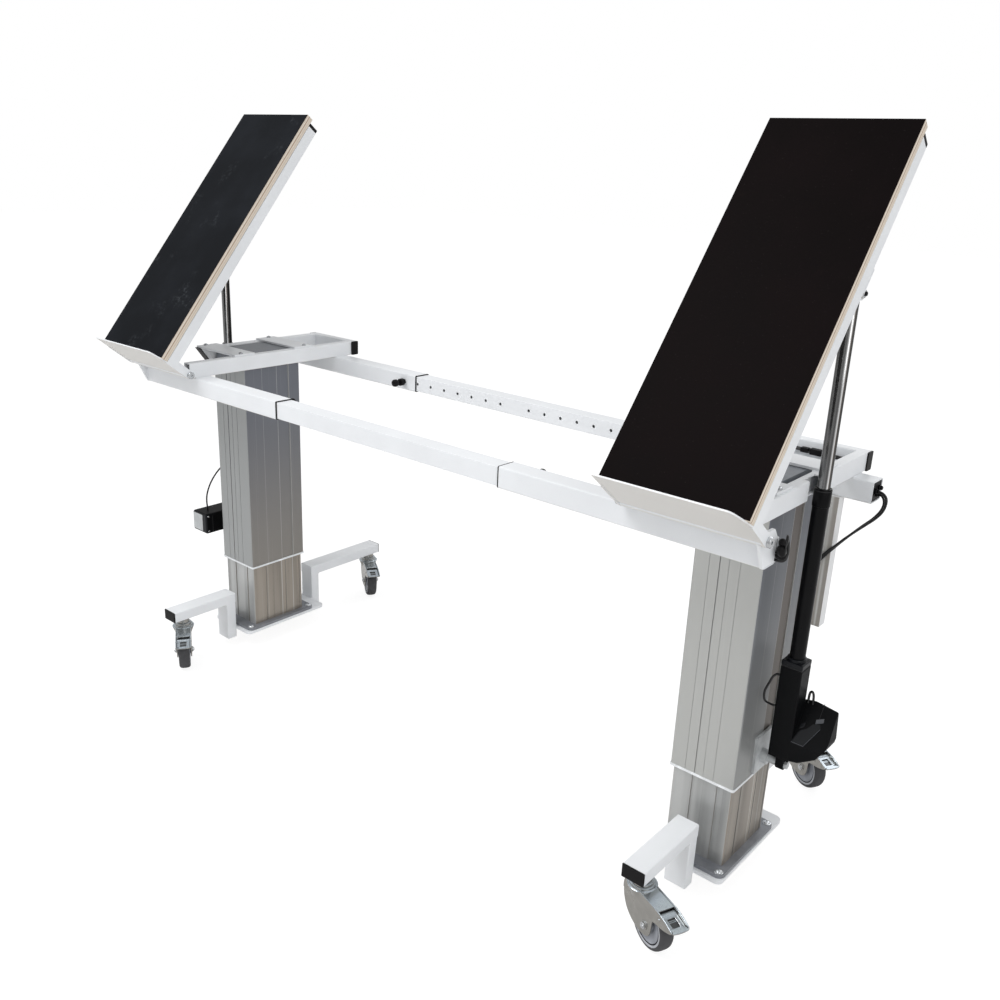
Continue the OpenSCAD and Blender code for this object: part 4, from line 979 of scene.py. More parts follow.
@dataclass
class Studio:
    """Camera, light, floor and backdrop, in metres."""

    camera: Point = (1.5390, -1.6816, 1.4078)
    azimuth: float = 39.57
    elevation: float = 18.69
    roll: float = 2.535
    lens: float = 35.383
    shift: tuple[float, float] = (-0.00201, -0.0045)
    sky: float = 0.60
    floor_glow: float = 1.2
    floor_share: float = 0.72
    aim: Point = (0.0, 0.0, 0.7)
    boxes: tuple[tuple[str, Point, float, float], ...] = (
        ("key", (-1.4, -2.6, 4.8), 2.6, 130.0),
        ("fill", (3.4, -1.4, 2.4), 2.2, 26.0),
        ("back", (0.6, 3.4, 3.0), 2.6, 26.0),
    )

    def build(self) -> None:
        """Makes the whole studio."""
        self.add_camera()
        self.add_floor()
        self.add_lights()
        self.add_sky()
        bpy.context.scene.view_settings.view_transform = "Standard"

    def add_camera(self) -> None:
        """Puts the camera where the photograph was taken."""
        az, el, roll = (math.radians(a) for a in (self.azimuth, self.elevation, self.roll))
        back = Vector((math.sin(az) * math.cos(el), -math.cos(az) * math.cos(el), math.sin(el)))
        right = Vector((math.cos(az), math.sin(az), 0.0))
        up = back.cross(right)
        across = right * math.cos(roll) + up * math.sin(roll)
        above = -right * math.sin(roll) + up * math.cos(roll)
        data = bpy.data.cameras.new("camera")
        data.lens = self.lens
        data.sensor_width = 36.0
        data.shift_x, data.shift_y = self.shift
        data.clip_end = 60.0
        obj = bpy.data.objects.new("camera", data)
        turn = Matrix((across, above, back)).transposed().to_4x4()
        obj.matrix_world = Matrix.Translation(Vector(self.camera) + MIDDLE) @ turn
        bpy.context.scene.collection.objects.link(obj)
        bpy.context.scene.camera = obj

    def add_floor(self) -> None:
        """A pale floor that keeps a soft shadow and otherwise shows white."""
        bpy.ops.mesh.primitive_plane_add(size=40.0, location=(0.0, 0.0, 0.0))
        floor = bpy.context.object
        floor.name = "floor"
        t = Tree("floor_paper")
        ray = t.node("ShaderNodeLightPath", out="Is Camera Ray")
        grain = t.noise(t.place(), 60.0, 2.0)
        pale = t.mix(grain, (0.86, 0.86, 0.865), (0.88, 0.88, 0.88))
        matt = t.node("ShaderNodeBsdfDiffuse", {}, {"Color": pale})
        white = t.node("ShaderNodeEmission", {}, {"Color": (1.0, 1.0, 1.0), "Strength": self.floor_glow})
        both = t.node("ShaderNodeMixShader", {}, [ray * self.floor_share, matt, white])
        t.node("ShaderNodeOutputMaterial", {}, {"Surface": both})
        floor.data.materials.append(t.owner)

    def add_lights(self) -> None:
        """Soft boxes, each aimed at the middle of the table."""
        for name, place, size, power in self.boxes:
            data = bpy.data.lights.new(name, "AREA")
            data.shape, data.size, data.energy = "SQUARE", size, power
            obj = bpy.data.objects.new(name, data)
            obj.location = place
            obj.rotation_mode = "QUATERNION"
            obj.rotation_quaternion = (Vector(place) - Vector(self.aim)).to_track_quat("Z", "Y")
            bpy.context.scene.collection.objects.link(obj)

    def add_sky(self) -> None:
        """An even sky, white to the camera."""
        t = Tree("sky", True)
        bpy.context.scene.world = t.owner
        ray = t.node("ShaderNodeLightPath", out="Is Camera Ray")
        white = (1.0, 1.0, 1.0)
        soft, plain = (
            t.node("ShaderNodeBackground", {}, {"Color": white, "Strength": s}) for s in (self.sky, 1.0)
        )
        both = t.node("ShaderNodeMixShader", {}, [ray, soft, plain])
        t.node("ShaderNodeOutputWorld", {}, {"Surface": both})


@dataclass
class CadDress:
    """Finishes of the CAD nodes, each with the stems of its nodes' names."""

    finishes: dict[str, tuple[str, ...]] = field(
        default_factory=lambda: {
            "white": ("foot", "top_frame", "inner_bar", "board_frame"),
            "black": ("foot_caps", "frame_caps", "index_sleeves", "plunger", "rail_caps"),
            "zinc": ("base_screws", "fork", "pedal"),
            "rod": ("push_rod", "actuator_rod"),
            "plate": ("base_plate",),
            "inner": ("inner_column",),
            "outer_right": ("outer_column_right",),
            "outer_left": ("outer_column_left",),
            "core": ("wheel",),
            "glide": ("glide_ring",),
            "head": ("lift_drive",),
            "bracket": ("pivot_bracket",),
            "bolt": ("frame_bolts",),
            "film_right": ("board",),
            "housing": ("actuator",),
            "sheet": ("holder",),
            "cable": ("cable",),
        }
    )

    def build(self) -> None:
        """Dresses every node by the longest stem that its name starts with."""
        stems = {stem: key for key, names in self.finishes.items() for stem in names}
        for name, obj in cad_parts.items():
            dress(obj, stems[max((s for s in stems if name.startswith(s)), key=len)])


@dataclass
class Caster:
    """Swivel caster with a pressed fork, a wheel and a brake pedal.

    Its own frame has the stem on the Z axis and the axle at +X.
    """

    key: str
    side: Side
    stem_y: float
    turn: float
    trail: float = 44.0
    radius: float = 52.0
    half: float = 15.0
    cheek: tuple[float, float] = (17.5, 20.3)
    pin: tuple[float, float] = (86.0, 97.0)

    def build(self) -> None:
        """Makes the wheel, the fork and the pedal."""
        turn = Matrix.Rotation(math.radians(self.turn), 4, "Z")
        place = Matrix.Translation((self.side.column, self.stem_y, 0.0)) @ turn
        for make, node, body, slot in (
            (self.wheel, "wheel", "wheel", "caster_grey"),
            (self.fork, "fork", "swivel", "zinc"),
            (self.pedal, "pedal", "pedal", "zinc"),
        ):
            node, body = f"{node}_{self.key}", f"{body}_{self.key}"
            settle(make(), "caster_" + node, body, slot, [node], place)

    def wheel(self) -> Pieces:
        """Tread, light ring and dished core, turned and welded to one shell.

        Yields:
            The wheel.
        """
        w, r, bore = self.half, self.radius, 5.1
        shoulder = ((8.6, 0.2), (5.6, 0), (3, 1.4), (1.2, 4), (0.3, 7.5), (0, 11))
        half = [(r - a, w - b) for a, b in shoulder]
        ring = [half[0], (r - 9.6, w + 0.1), (r - 12.2, w - 0.3), (r - 13.0, w - 1.0)]
        # The groove between ring and core is near-black: painted shade.
        gap = [ring[-1], (r - 13.3, w - 3.4), (r - 15.0, w - 3.4), (r - 15.2, w - 1.6)]
        core = [
            gap[-1], (r - 16.4, w - 1.0), (r - 18.0, w - 1.6), (21.0, w - 4.4), (15.2, w - 4.0),
            (13.6, w - 0.6), (12.4, w + 2.0), (bore, w + 2.0),
        ]
        parts = [turned([(a, -b) for a, b in half] + half[::-1], "tread", 72)]
        for sign in (1, -1):
            for line, key in ((ring, "ring"), (gap, "gap"), (core, "core")):
                parts.append(turned([(a, sign * b) for a, b in line], key, 72))
        parts.append(turned([(bore, w + 2.0), (bore, -w - 2.0)], "core", 32))
        whole = joined(parts)
        with edited():
            bpy.ops.mesh.remove_doubles(threshold=0.01)
        yield moved(whole, laid(Axis.Y, (self.trail, 0.0, self.radius)))

    def fork(self) -> Pieces:
        """Two cheeks with a rolled rim, the web between them, the ball race and the axle.

        Yields:
            The parts.
        """
        inner, outer = self.cheek
        cheek = [
            (-27, 106), (-22, 110), (60, 110), (92, 109), (110, 104.5), (126, 98.5), (121, 92.5), (97, 84),
            (80, 81.5), (69, 79), (65.5, 74), (65, 60), (63, 44), (57, 35), (46, 29.5), (34, 28),
            (20, 28.5), (4, 33), (-14, 44), (-25, 60), (-31, 80), (-31, 96),
        ]
        rim = [
            (-31, 84), (-30.5, 97), (-24, 108.4), (0, 109.6), (40, 109.8), (80, 109.6), (100, 107),
            (116, 102), (124.6, 98.6),
        ]
        rim = smooth_line_2d(rim)
        smooth = rounded_outline(cheek, 2)
        for sign in (1, -1):
            a, b = sorted((sign * inner, sign * outer))
            yield prism(smooth, a, b, Axis.Y, "zinc", 0.9, 3, 40)
            yield tube([(x, sign * 19.2, z) for x, z in rim], 1.5, "zinc", 3)
            washer = turned([(0, 0), (9.6, 0), (9.6, 0.7), (8.6, 1.3), (0, 1.3)], "zinc", 40)
            nut = prism(hex_points(7.4), 0.0, 3.4, Axis.Z, "bolt", 0.7, 2)
            end = turned([(0, 6), (2.6, 6), (4, 5.2), (4.4, 4), (4.4, 0)], "bolt", 24)
            for piece, out in ((washer, 20.2), (nut, 21.4), (end, 21.4)):
                yield moved(piece, laid(Axis.Y, (self.trail, sign * out, self.radius), sign))
            rivet = turned([(0, 1.6), (2, 1.3), (3.2, 0.4), (3.4, 0)], "zinc", 20)
            yield moved(rivet, laid(Axis.Y, (self.pin[0], sign * outer, self.pin[1]), sign))
        web = [(-24, -17.6), (79, -17.6), (79, 17.6), (-24, 17.6)]
        yield prism(web, 107.2, 109.8, Axis.Z, "zinc", 0.6, 2)
        race = [
            (0, 88), (22.5, 88), (26, 98), (29.4, 106.5), (30, 109.2), (28.4, 110.6), (26.2, 111.6),
            (26, 114.2), (24.4, 115.2), (22.4, 115.4), (22, 119.4), (20.6, 120.4), (17.4, 120.6),
            (17, 133.6), (16, 134.5), (6, 134.6), (6, 143.8), (0, 143.8),
        ]
        yield cut(turned(race, "zinc", 56), block((-40, -17.4, 80), (40, 17.4, 107.2), "zinc"))
        axle = turned([(0, -20.5), (5, -20.5), (5, 20.5), (0, 20.5)], "bolt", 28)
        yield moved(axle, laid(Axis.Y, (self.trail, 0.0, self.radius)))

    def pedal(self) -> Pieces:
        """Brake pedal: hub, sloping plate with a ribbed window and a flared lip.

        Returns:
            The parts.
        """
        plate = [
            (80.6, 99), (80.6, 104.6), (88, 105), (90, 103.4), (93, 102.2), (104, 100.2), (116, 97.3),
            (122, 97), (127, 98.4), (130.6, 99.6), (131, 98.2), (127.4, 95.6), (122, 94.2), (116, 94.3),
            (103, 96.8), (92, 98.6), (89, 93.5), (85, 91.8), (81.8, 93.6),
        ]
        body = prism(plate, -16.8, 16.8, Axis.Y, "zinc", 0.5, 2, 50)
        window = block((95, -9.5, 90), (115, 9.5, 110), "zinc")
        corners = [block((127.2, y, 85), (140, y + 20, 110), "zinc") for y in (10, -30)]
        body = cut(body, window, *corners)
        # The dark well under the window is painted shade in the opening.
        well = prism([(94.6, 95.4), (94.6, 98.6), (115.4, 94.4), (115.4, 91.2)], -9.9, 9.9, Axis.Y, "window")
        ribs = []
        for x in (97, 100.2):
            fall = 0.2 * (x - 95)
            rib = [(x, 98.8 - fall), (x + 1.4, 98.5 - fall), (x + 1.4, 95.0 - fall), (x, 95.3 - fall)]
            ribs.append(prism(rib, -8.6, 8.6, Axis.Y, "zinc"))
        # Bright bars along the window's long edges are painted highlights.
        bars = [tube([(95.4, y, 100.3), (115.2, y, 96.4)], 0.9, "bolt", 2) for y in (9.2, -9.2)]
        flare = [(121.5, 15.5), (125.8, 16.6), (126.7, 19.6), (129.2, 15.6), (130.6, 8)]
        lip = [(x, -y) for x, y in flare] + [(131, 0)] + flare[::-1]
        lip = prism(lip, 97.2, 99.2, Axis.Z, "zinc", 0.5, 2, 50)
        _, outer = self.cheek
        pin = turned([(0, -outer), (3.0, -outer), (3.0, outer), (0, outer)], "zinc", 20)
        return [body, well, *ribs, *bars, lip, moved(pin, laid(Axis.Y, (self.pin[0], 0.0, self.pin[1])))]


@dataclass
class Half:
    """A sub-assembly that stands on both sides of the table."""

    side: Side

    def add(
        self, parts: Pieces, name: str, body: str, slot: str, node: str = "", place: Matrix | None = None
    ) -> None:
        """Settles parts as one piece; its name, body and CAD node all end in the side's word.

        Args:
            parts: the parts.
            name: the piece's name.
            body: the body that it moves with.
            slot: the record's material slot.
            node: the CAD node that it stands for, if any.
            place: matrix from the parts' own frame to the table's.
        """
        word = "_" + self.side.word
        settle(parts, name + word, body + word, slot, [node + word] if node else [], place)


@dataclass
class TiltBoard(Half):
    """Film-faced plywood board on its welded frame.

    The board's own frame has the hinge at its origin and the board's length along Y.
    """

    width: float = 284.0
    length: float = 769.0
    low: float = -6.2
    top: float = 96.3
    thick: float = 20.0
    rail: float = 25.0
    ear: float = 15.8

    @property
    def left(self) -> float:
        """The board's left edge."""
        return 650.0 if self.side is Side.RIGHT else -969.0

    @property
    def under(self) -> float:
        """Height of the board's underside."""
        return self.top - self.thick

    def build(self) -> None:
        """Makes the board, the beads and plugs of its frame, and the bolt of its clevis."""
        place = Matrix.Translation((0.0, HINGE_Y, HINGE_Z)) @ Matrix.Rotation(TILT, 4, "X")
        self.add([self.panel()], "panel", "tilt", "board_black", "board", place)
        self.add(self.plugs(), "rail_plugs", "tilt", "black_plastic", "rail_caps", place)
        self.add(self.beads(), "frame_beads", "tilt", "white_paint", "", place)
        self.add(self.clevis_bolt(), "clevis_bolt", "tilt", "zinc")

    def panel(self) -> Piece:
        """The board, its faces and edges in their own finishes.

        Returns:
            The piece.
        """
        high = (self.left + self.width, self.low + self.length, self.top)
        obj = block((self.left, self.low, self.under), high, "film_" + self.side.word, 0.7, 2)
        obj.data.materials.append(finish("ply"))
        for face in obj.data.polygons:
            face.material_index = 0 if abs(face.normal.z) > 0.6 else 1
        return obj

    def plugs(self) -> Pieces:
        """Domed plugs in the rails' upper ends.

        Yields:
            The parts.
        """
        for x in (self.left, self.left + self.width - self.rail):
            low, high = (x, 741.9, self.under - 30.0), (x + self.rail, 752.0, self.under)
            yield block(low, high, "black", 2.6, 4)
            low, high = (x + 2.3, 730.0, self.under - 27.7), (x + 22.7, 742.5, self.under - 2.3)
            yield block(low, high, "black", 1.0, 2)

    def beads(self) -> Pieces:
        """Weld beads where the levers, the lip and the cross tubes meet the rails.

        Yields:
            The beads.
        """
        z, a, b = self.under, self.left, self.left + self.width
        for n, x in enumerate((a + 5.2, b - 5.2)):
            yield bead([(x, -9.5, z - 30.4), (x, 9.5, z - 30.4)], 1.7, 10 + n)
        for n, (x, y) in enumerate((x, y) for x in (a + 25.2, b - 25.2) for y in (60.0, 85.0, 600.0, 625.0)):
            yield bead([(x, y, z - 28), (x, y, z - 3)], 1.5, 20 + n)

    def clevis_bolt(self) -> Pieces:
        """Ends of the rod's upper bolt, outside the clevis ears; the inner one is flat.

        Yields:
            The parts, in the table's frame.
        """
        for sign, key in ((1, "bolt"), (-1, "zinc")):
            at = laid(Axis.X, (self.side.actuator + sign * self.ear, ACTUATOR_Y, ROD_EYE_Z), sign)
            if sign * self.side.actuator < 0:
                yield moved(prism(hex_points(7.2), 0.0, 3.6, Axis.Z, key, 0.6, 2), at)
                continue
            yield moved(turned([(0, 0), (8.6, 0), (8.6, 1.2), (0, 1.2)], "zinc", 32), at)
            yield moved(prism(hex_points(7.2), 1.0, 5.2, Axis.Z, key, 0.6, 2), at)
            end = [(0, 5), (3.8, 5), (3.8, 7.4), (3, 8), (0, 8)]
            yield moved(turned(end, "black", 24), at)


@dataclass
class Actuator(Half):
    """Tilt drive: housing, motor, guide tube and its rod's eye."""

    half: float = 22.0
    low: float = 306.0
    high: float = 520.0
    slope_z: float = 352.0
    slope_rise: float = 1.48
    motor_half: float = 34.0
    motor_low: float = 309.0
    motor_high: float = 371.0

    def build(self) -> None:
        """Makes the housing with its motor, and the rod."""
        motor = self.side_motor if self.side is Side.RIGHT else self.front_motor
        parts = [*self.housing(), *self.guide(), *motor()]
        self.add(parts, "tilt_drive", "actuator", "housing_black", "actuator")
        self.add(self.rod(), "tilt_rod", "rod", "chrome", "actuator_rod")

    @property
    def axis(self) -> Matrix:
        """Matrix that takes the Z axis to the actuator's axis."""
        return Matrix.Translation((self.side.actuator, ACTUATOR_Y, 0.0))

    def bored(self, inset: float, low: float, high: float, key: str, edge: float = 0.0) -> Piece:
        """One block of the housing, with the room that the rod needs in it.

        Args:
            inset: how far its sides stand in.
            low: its underside.
            high: its top.
            key: its finish.
            edge: width of the edge rounding.

        Returns:
            The piece.
        """
        x, y, h = self.side.actuator, ACTUATOR_Y, self.half - inset
        whole = block((x - h, y - h, low), (x + h, y + h, high), key, edge, 4)
        bore = turned([(0, 450), (12.8, 450), (12.8, 560), (0, 560)], "gap", 40)
        return cut(whole, moved(bore, self.axis))

    def housing(self) -> Pieces:
        """Gear housing with a parting seam, a cover edge and the lower lug.

        Returns:
            The parts.
        """
        x, y, z = self.side.actuator, ACTUATOR_Y, LOWER_PIN_Z
        body = self.bored(0.0, self.low, self.high - 12.0, "housing", 3.0)
        seam = self.bored(0.9, self.high - 14.0, self.high - 9.0, "gap")
        cover = self.bored(0.0, self.high - 11.0, self.high, "panel", 2.6)
        angles = [math.radians(180 + 12 * k) for k in range(16)]
        outline = [(y + 12 * math.cos(a), z + 12 * math.sin(a)) for a in angles]
        outline += [(y + 12, self.low + 3), (y - 12, self.low + 3)]
        lug = prism(outline, x - 8, x + 8, Axis.X, "housing", 0.8, 2)
        hole = turned([(0, -20), (6.05, -20), (6.05, 20), (0, 20)], "gap", 32)
        return [body, seam, cover, cut(lug, moved(hole, laid(Axis.X, (x, y, z))))]

    def guide(self) -> Pieces:
        """Outer tube with its foot ring, collar and open mouth.

        Returns:
            The parts.
        """
        foot = [(15.4, 519.9), (19, 519.9), (19, 523.6), (17.8, 525.6), (15.4, 526)]
        pipe = [
            (15.2, 521), (15.2, 836), (16.4, 836.6), (16.4, 868.6), (15.4, 870.6), (12.9, 871),
            (12.15, 870), (12.15, 456),
        ]
        wiper = [(15, 866), (16.46, 866), (16.46, 867.4), (15, 867.4)]
        turnings = ((foot, "panel", 48), (pipe, "tube_black", 56), (wiper, "gap", 48))
        return [moved(turned(*t), self.axis) for t in turnings]

    def side_motor(self) -> Pieces:
        """Motor beside the housing; its sloping front has a plain raised panel, a clip and a latch; a lighter
        line along the panel's edge and the lighter latch are painted highlights.

        Yields:
            The parts.
        """
        x = self.side.actuator
        outline = [
            (12, 308.5), (22, 309), (40, 313), (73, 335), (88, 360), (90, 370), (87, 425), (40, 432),
            (12, 426),
        ]
        body = prism([(x + a, b) for a, b in outline], -9.4, 44.0, Axis.Y, "housing", 3.0, 3, 20)
        over = [(-40, 307.6), (60, 455.6), (-40, 455.6)]
        body = cut(body, prism(over, x + 21.9, x + 140, Axis.X, "housing"))
        soften(body, 1.6, 3, 28)
        panel = [(19, -9.4), (46, -9.4), (66, 15), (62, 20), (50, 18), (40, 10), (29, 6)]
        yield body
        yield self.on_slope(panel, 1.6, "panel")
        # Painted highlight: a thin lighter line along the panel's edge.
        rim = [(x + a, b, self.slope(b) + 1.5) for a, b in ((19.5, -9), (45.8, -9), (65.5, 15))]
        yield tube(rim, 0.55, "glint", 2)
        # The latch in the lighter finish: painted highlight.
        yield self.on_slope([(53, 19), (67, 23), (66, 27), (52, 23)], 2.6, "glint")
        yield self.on_slope([(27, 8), (35, 12), (35, 16), (27, 13)], 2.6, "panel")
        yield tube([(x + 57, y, self.slope(y)) for y in (21, 43.4)], 0.6, "gap", 2)

    def slope(self, y: float) -> float:
        """Height of the side motor's sloping front at a place."""
        return self.slope_z + self.slope_rise * (y + 10.0)

    def on_slope(self, outline: Outline, high: float, key: str) -> Piece:
        """A thin slab on the side motor's sloping front.

        Args:
            outline: its corners, from the actuator's axis and along Y.
            high: its height above the slope.
            key: its finish.

        Returns:
            The piece.
        """
        slab = prism([(self.side.actuator + a, b) for a, b in outline], 0.0, high, Axis.Z, key, 0.3, 1)
        lean = Matrix.Identity(4)
        lean[2][1] = self.slope_rise
        lean[2][3] = self.slope(0.0)
        return moved(slab, lean)

    def front_motor(self) -> Pieces:
        """Motor in front of the housing, with a plain pale plate on its end.

        Yields:
            The parts.
        """
        x, w, low, high = self.side.actuator, self.motor_half, self.motor_low, self.motor_high
        yield block((x - w, -117.0, low), (x + w, -6.0, high), "housing", 5.0, 4)
        yield block((x - w + 0.6, -118.0, low + 1.0), (x + w - 0.6, -108.0, high - 1.0), "panel", 4.0, 4)
        yield block((x - 31, -118.6, low + 6.0), (x + 15, -117.0, high - 5.0), "bracket", 0.6, 2)
        for y in (-96, -30):
            yield block((x - w - 0.3, y, low + 7.0), (x + w + 0.3, y + 1.6, high - 7.0), "gap", 0.3, 1)
        for y in (-109, -14):
            for z in (low + 8.0, high - 8.0):
                screw = turned([(0, 1.6), (2.4, 1.4), (3, 0)], "bolt", 16)
                yield moved(screw, laid(Axis.X, (x + w - 0.2, y, z)))

    def rod(self) -> Pieces:
        """Polished rod with its eye.

        Returns:
            The parts.
        """
        shaft = [(0, 800), (11.4, 800), (12, 800.8), (12, 1212), (11, 1214), (0, 1214)]
        shaft = moved(turned(shaft, "rod", 56), self.axis)
        eye = [(6, -8), (11, -8), (12, -7), (12, 7), (11, 8), (6, 8)]
        at = laid(Axis.X, (self.side.actuator, ACTUATOR_Y, ROD_EYE_Z))
        return [shaft, moved(turned(eye, "bolt", 40, True), at)]


@dataclass
class Foot(Half):
    """Caps, base plate screws and weld beads of a foot."""

    screw_at: Point = (71.0, 108.0, 64.0)

    def build(self) -> None:
        """Makes the caps, the domed screws and the weld beads."""
        self.add(self.caps(), "arm_caps", "base", "black_plastic", "foot_caps")
        self.add(self.screws(), "plate_screws", "base", "zinc", "base_screws")
        self.add(self.beads(), "foot_beads", "base", "white_paint")

    def caps(self) -> Pieces:
        """Square end caps with a shallow crown.

        Yields:
            The parts.
        """
        cx = self.side.column
        for y0, y1, p0, p1 in ((-330.0, -327.0, -327.2, -313.0), (448.0, 451.0, 434.0, 448.2)):
            yield block((cx - 25, y0, 135.0), (cx + 25, y1, 165.0), "black", 1.4, 3)
            yield block((cx - 21.9, p0, 138.1), (cx + 21.9, p1, 161.9), "black", 0.8, 1)
            out = y0 if y0 < 0 else y1
            yield block((cx - 20, out - 0.25, 140.0), (cx + 20, out + 0.25, 160.0), "black", 0.24, 1)

    def screws(self) -> Pieces:
        """Dome-head screws with a hexagon socket and a washer.

        Yields:
            The screws.
        """
        profile = [
            (0, -16), (4, -16), (4, 0), (9, 0), (9, 1), (8.2, 1.3), (7.6, 1.3), (7.4, 2.2), (6.2, 3.7),
            (4.2, 4.6), (0, 4.9),
        ]
        dx, dy, z = self.screw_at
        for x in (-dx, dx):
            for y in (-dy, dy):
                head = cut(turned(profile, "bolt", 32), prism(hex_points(2.6), 2.6, 8.0, Axis.Z, "gap"))
                yield moved(head, Matrix.Translation((self.side.column + x, y, z)))

    def beads(self) -> Pieces:
        """Beads under the arms and along the sole plate.

        Yields:
            The beads.
        """
        cx = self.side.column
        for n, y in enumerate((-157.6, 190.1)):
            yield bead([(cx - 23, y, 134.6), (cx + 23, y, 134.6)], 2.2, 40 + n)
        for n, y in enumerate((-127, 159.5)):
            yield bead([(cx - 24, y, 56.4), (cx + 24, y, 56.4)], 2.0, 44 + n)
            for k, x in enumerate((cx - 25.2, cx + 25.2)):
                yield bead([(x, y, 55), (x, y, 49)], 1.8, 50 + 2 * n + k)


@dataclass
class TopFrame(Half):
    """Plugs, sleeves, knobs, bolts and weld beads of the welded upper frame."""

    plunger_at: Point = (397.0, 211.5, 819.5)
    deck_bolt_z: float = 887.0
    bead_z: float = 842.2

    def build(self) -> None:
        """Makes everything on the frame that is not a tube."""
        mirror = self.side.mirror
        self.add(self.sleeves(), "sleeves", "frame", "black_plastic", "index_sleeves", mirror)
        self.add(self.bolts(), "bolts", "frame", "zinc", "frame_bolts", mirror)
        self.add(self.beads(), "top_beads", "frame", "white_paint", "", mirror)
        if self.side is Side.RIGHT:
            self.add(self.bar_plug(), "bar_plug", "frame", "black_plastic")
        for end, a in (("front", -1), ("rear", 1)):
            name = f"plunger_{self.side.word}_{end}"
            settle(self.knob(a), name.replace("plunger", "knob"), name, "black_plastic", [name], mirror)

    def bar_plug(self) -> Pieces:
        """Recessed plug in the rear crossbar's end, with three cable glands.

        Yields:
            The parts.
        """
        yield block((917.0, 213.8, 799.3), (921.6, 259.2, 839.7), "black", 0.8, 2)
        gland = [(0, 0), (5.6, 0), (5.6, 3), (4.4, 4.4), (4.4, 7), (3, 8.4), (0, 8.4)]
        for y, z in ((240, 812), (231, 820), (248, 824)):
            yield moved(turned(gland, "tube_black", 24), laid(Axis.X, (921.4, y, z)))

    def at_plunger(self, a: int) -> Matrix:
        """Matrix that lays a turned piece at the front (-1) or rear (1) plunger, pointing inwards."""
        x, y, z = self.plunger_at
        return laid(Axis.Y, (x, a * y, z), -a)

    def sleeves(self) -> Pieces:
        """Stepped sleeves of the pull knobs."""
        profile = [(3.6, 0), (7, 0), (7, 4.4), (9.4, 5), (10, 5.8), (10, 17), (9.2, 18), (3.6, 18)]
        return [moved(turned(profile, "black", 36, True), self.at_plunger(a)) for a in (-1, 1)]

    def knob(self, a: int) -> Pieces:
        """Waisted pull knob on its pin, at the front (-1) or rear (1).

        Args:
            a: which of the two.

        Returns:
            The knob.
        """
        profile = [
            (0, -2), (3.5, -2), (3.5, 24), (6.4, 25.4), (7, 27), (9.4, 29), (10, 31), (10, 37), (9.2, 39.6),
            (6.6, 41.4), (0, 42),
        ]
        return [moved(turned(profile, "black", 40), self.at_plunger(a))]

    def bolts(self) -> Pieces:
        """Socket bolts of the strips and the hinge bolts.

        Yields:
            The bolts.
        """
        socket = [(0, -25), (3, -25), (3, 0), (6, 0), (6, 2.4), (5, 3.6), (3.6, 4), (0, 4)]
        hinge = [
            (0, -35), (6, -35), (6, 0), (9.5, 0), (9.5, 4.4), (8.4, 6), (3, 6), (3, 3.4), (0, 3.4),
        ]
        far = 0.0 if self.side is Side.RIGHT else LEFT_SHIFT
        for x in (702.5, 867):
            for y in (-108, 108):
                head = cut(turned(socket, "bolt", 28), prism(hex_points(2.9), 1.8, 8.0, Axis.Z, "gap"))
                yield moved(head, Matrix.Translation((x, y, self.deck_bolt_z)))
        for x, sign in ((934.3 + far, 1), (649.7 + far, -1)):
            yield moved(turned(hinge, "bolt", 32), laid(Axis.X, (x, HINGE_Y, HINGE_Z), sign))

    def beads(self) -> Pieces:
        """Beads where the side tubes, the cross tube and the ears meet the crossbars.

        Yields:
            The beads.
        """
        z = self.bead_z
        for n, x in enumerate((690.0, 715.0, 854.5, 879.5)):
            for k, (y0, y1) in enumerate(((-258.5, -214.5), (214.5, 258.5))):
                if self.side is Side.LEFT and x > 800 and y0 < 0:
                    continue
                yield bead([(x, y0, z), (x, y1, z)], 1.6, 60 + 2 * n + k)
        for n, x in enumerate((715.2, 854.3)):
            yield bead([(x, 275.0, 845), (x, 275.0, 879)], 1.7, 80 + n)
        yield bead([(918.0, -257, z + 0.2), (918.0, -226, z + 0.2)], 1.7, 90)
        yield bead([(923.9, -259, z - 45.0), (923.9, -224, z - 45.0)], 1.2, 91)


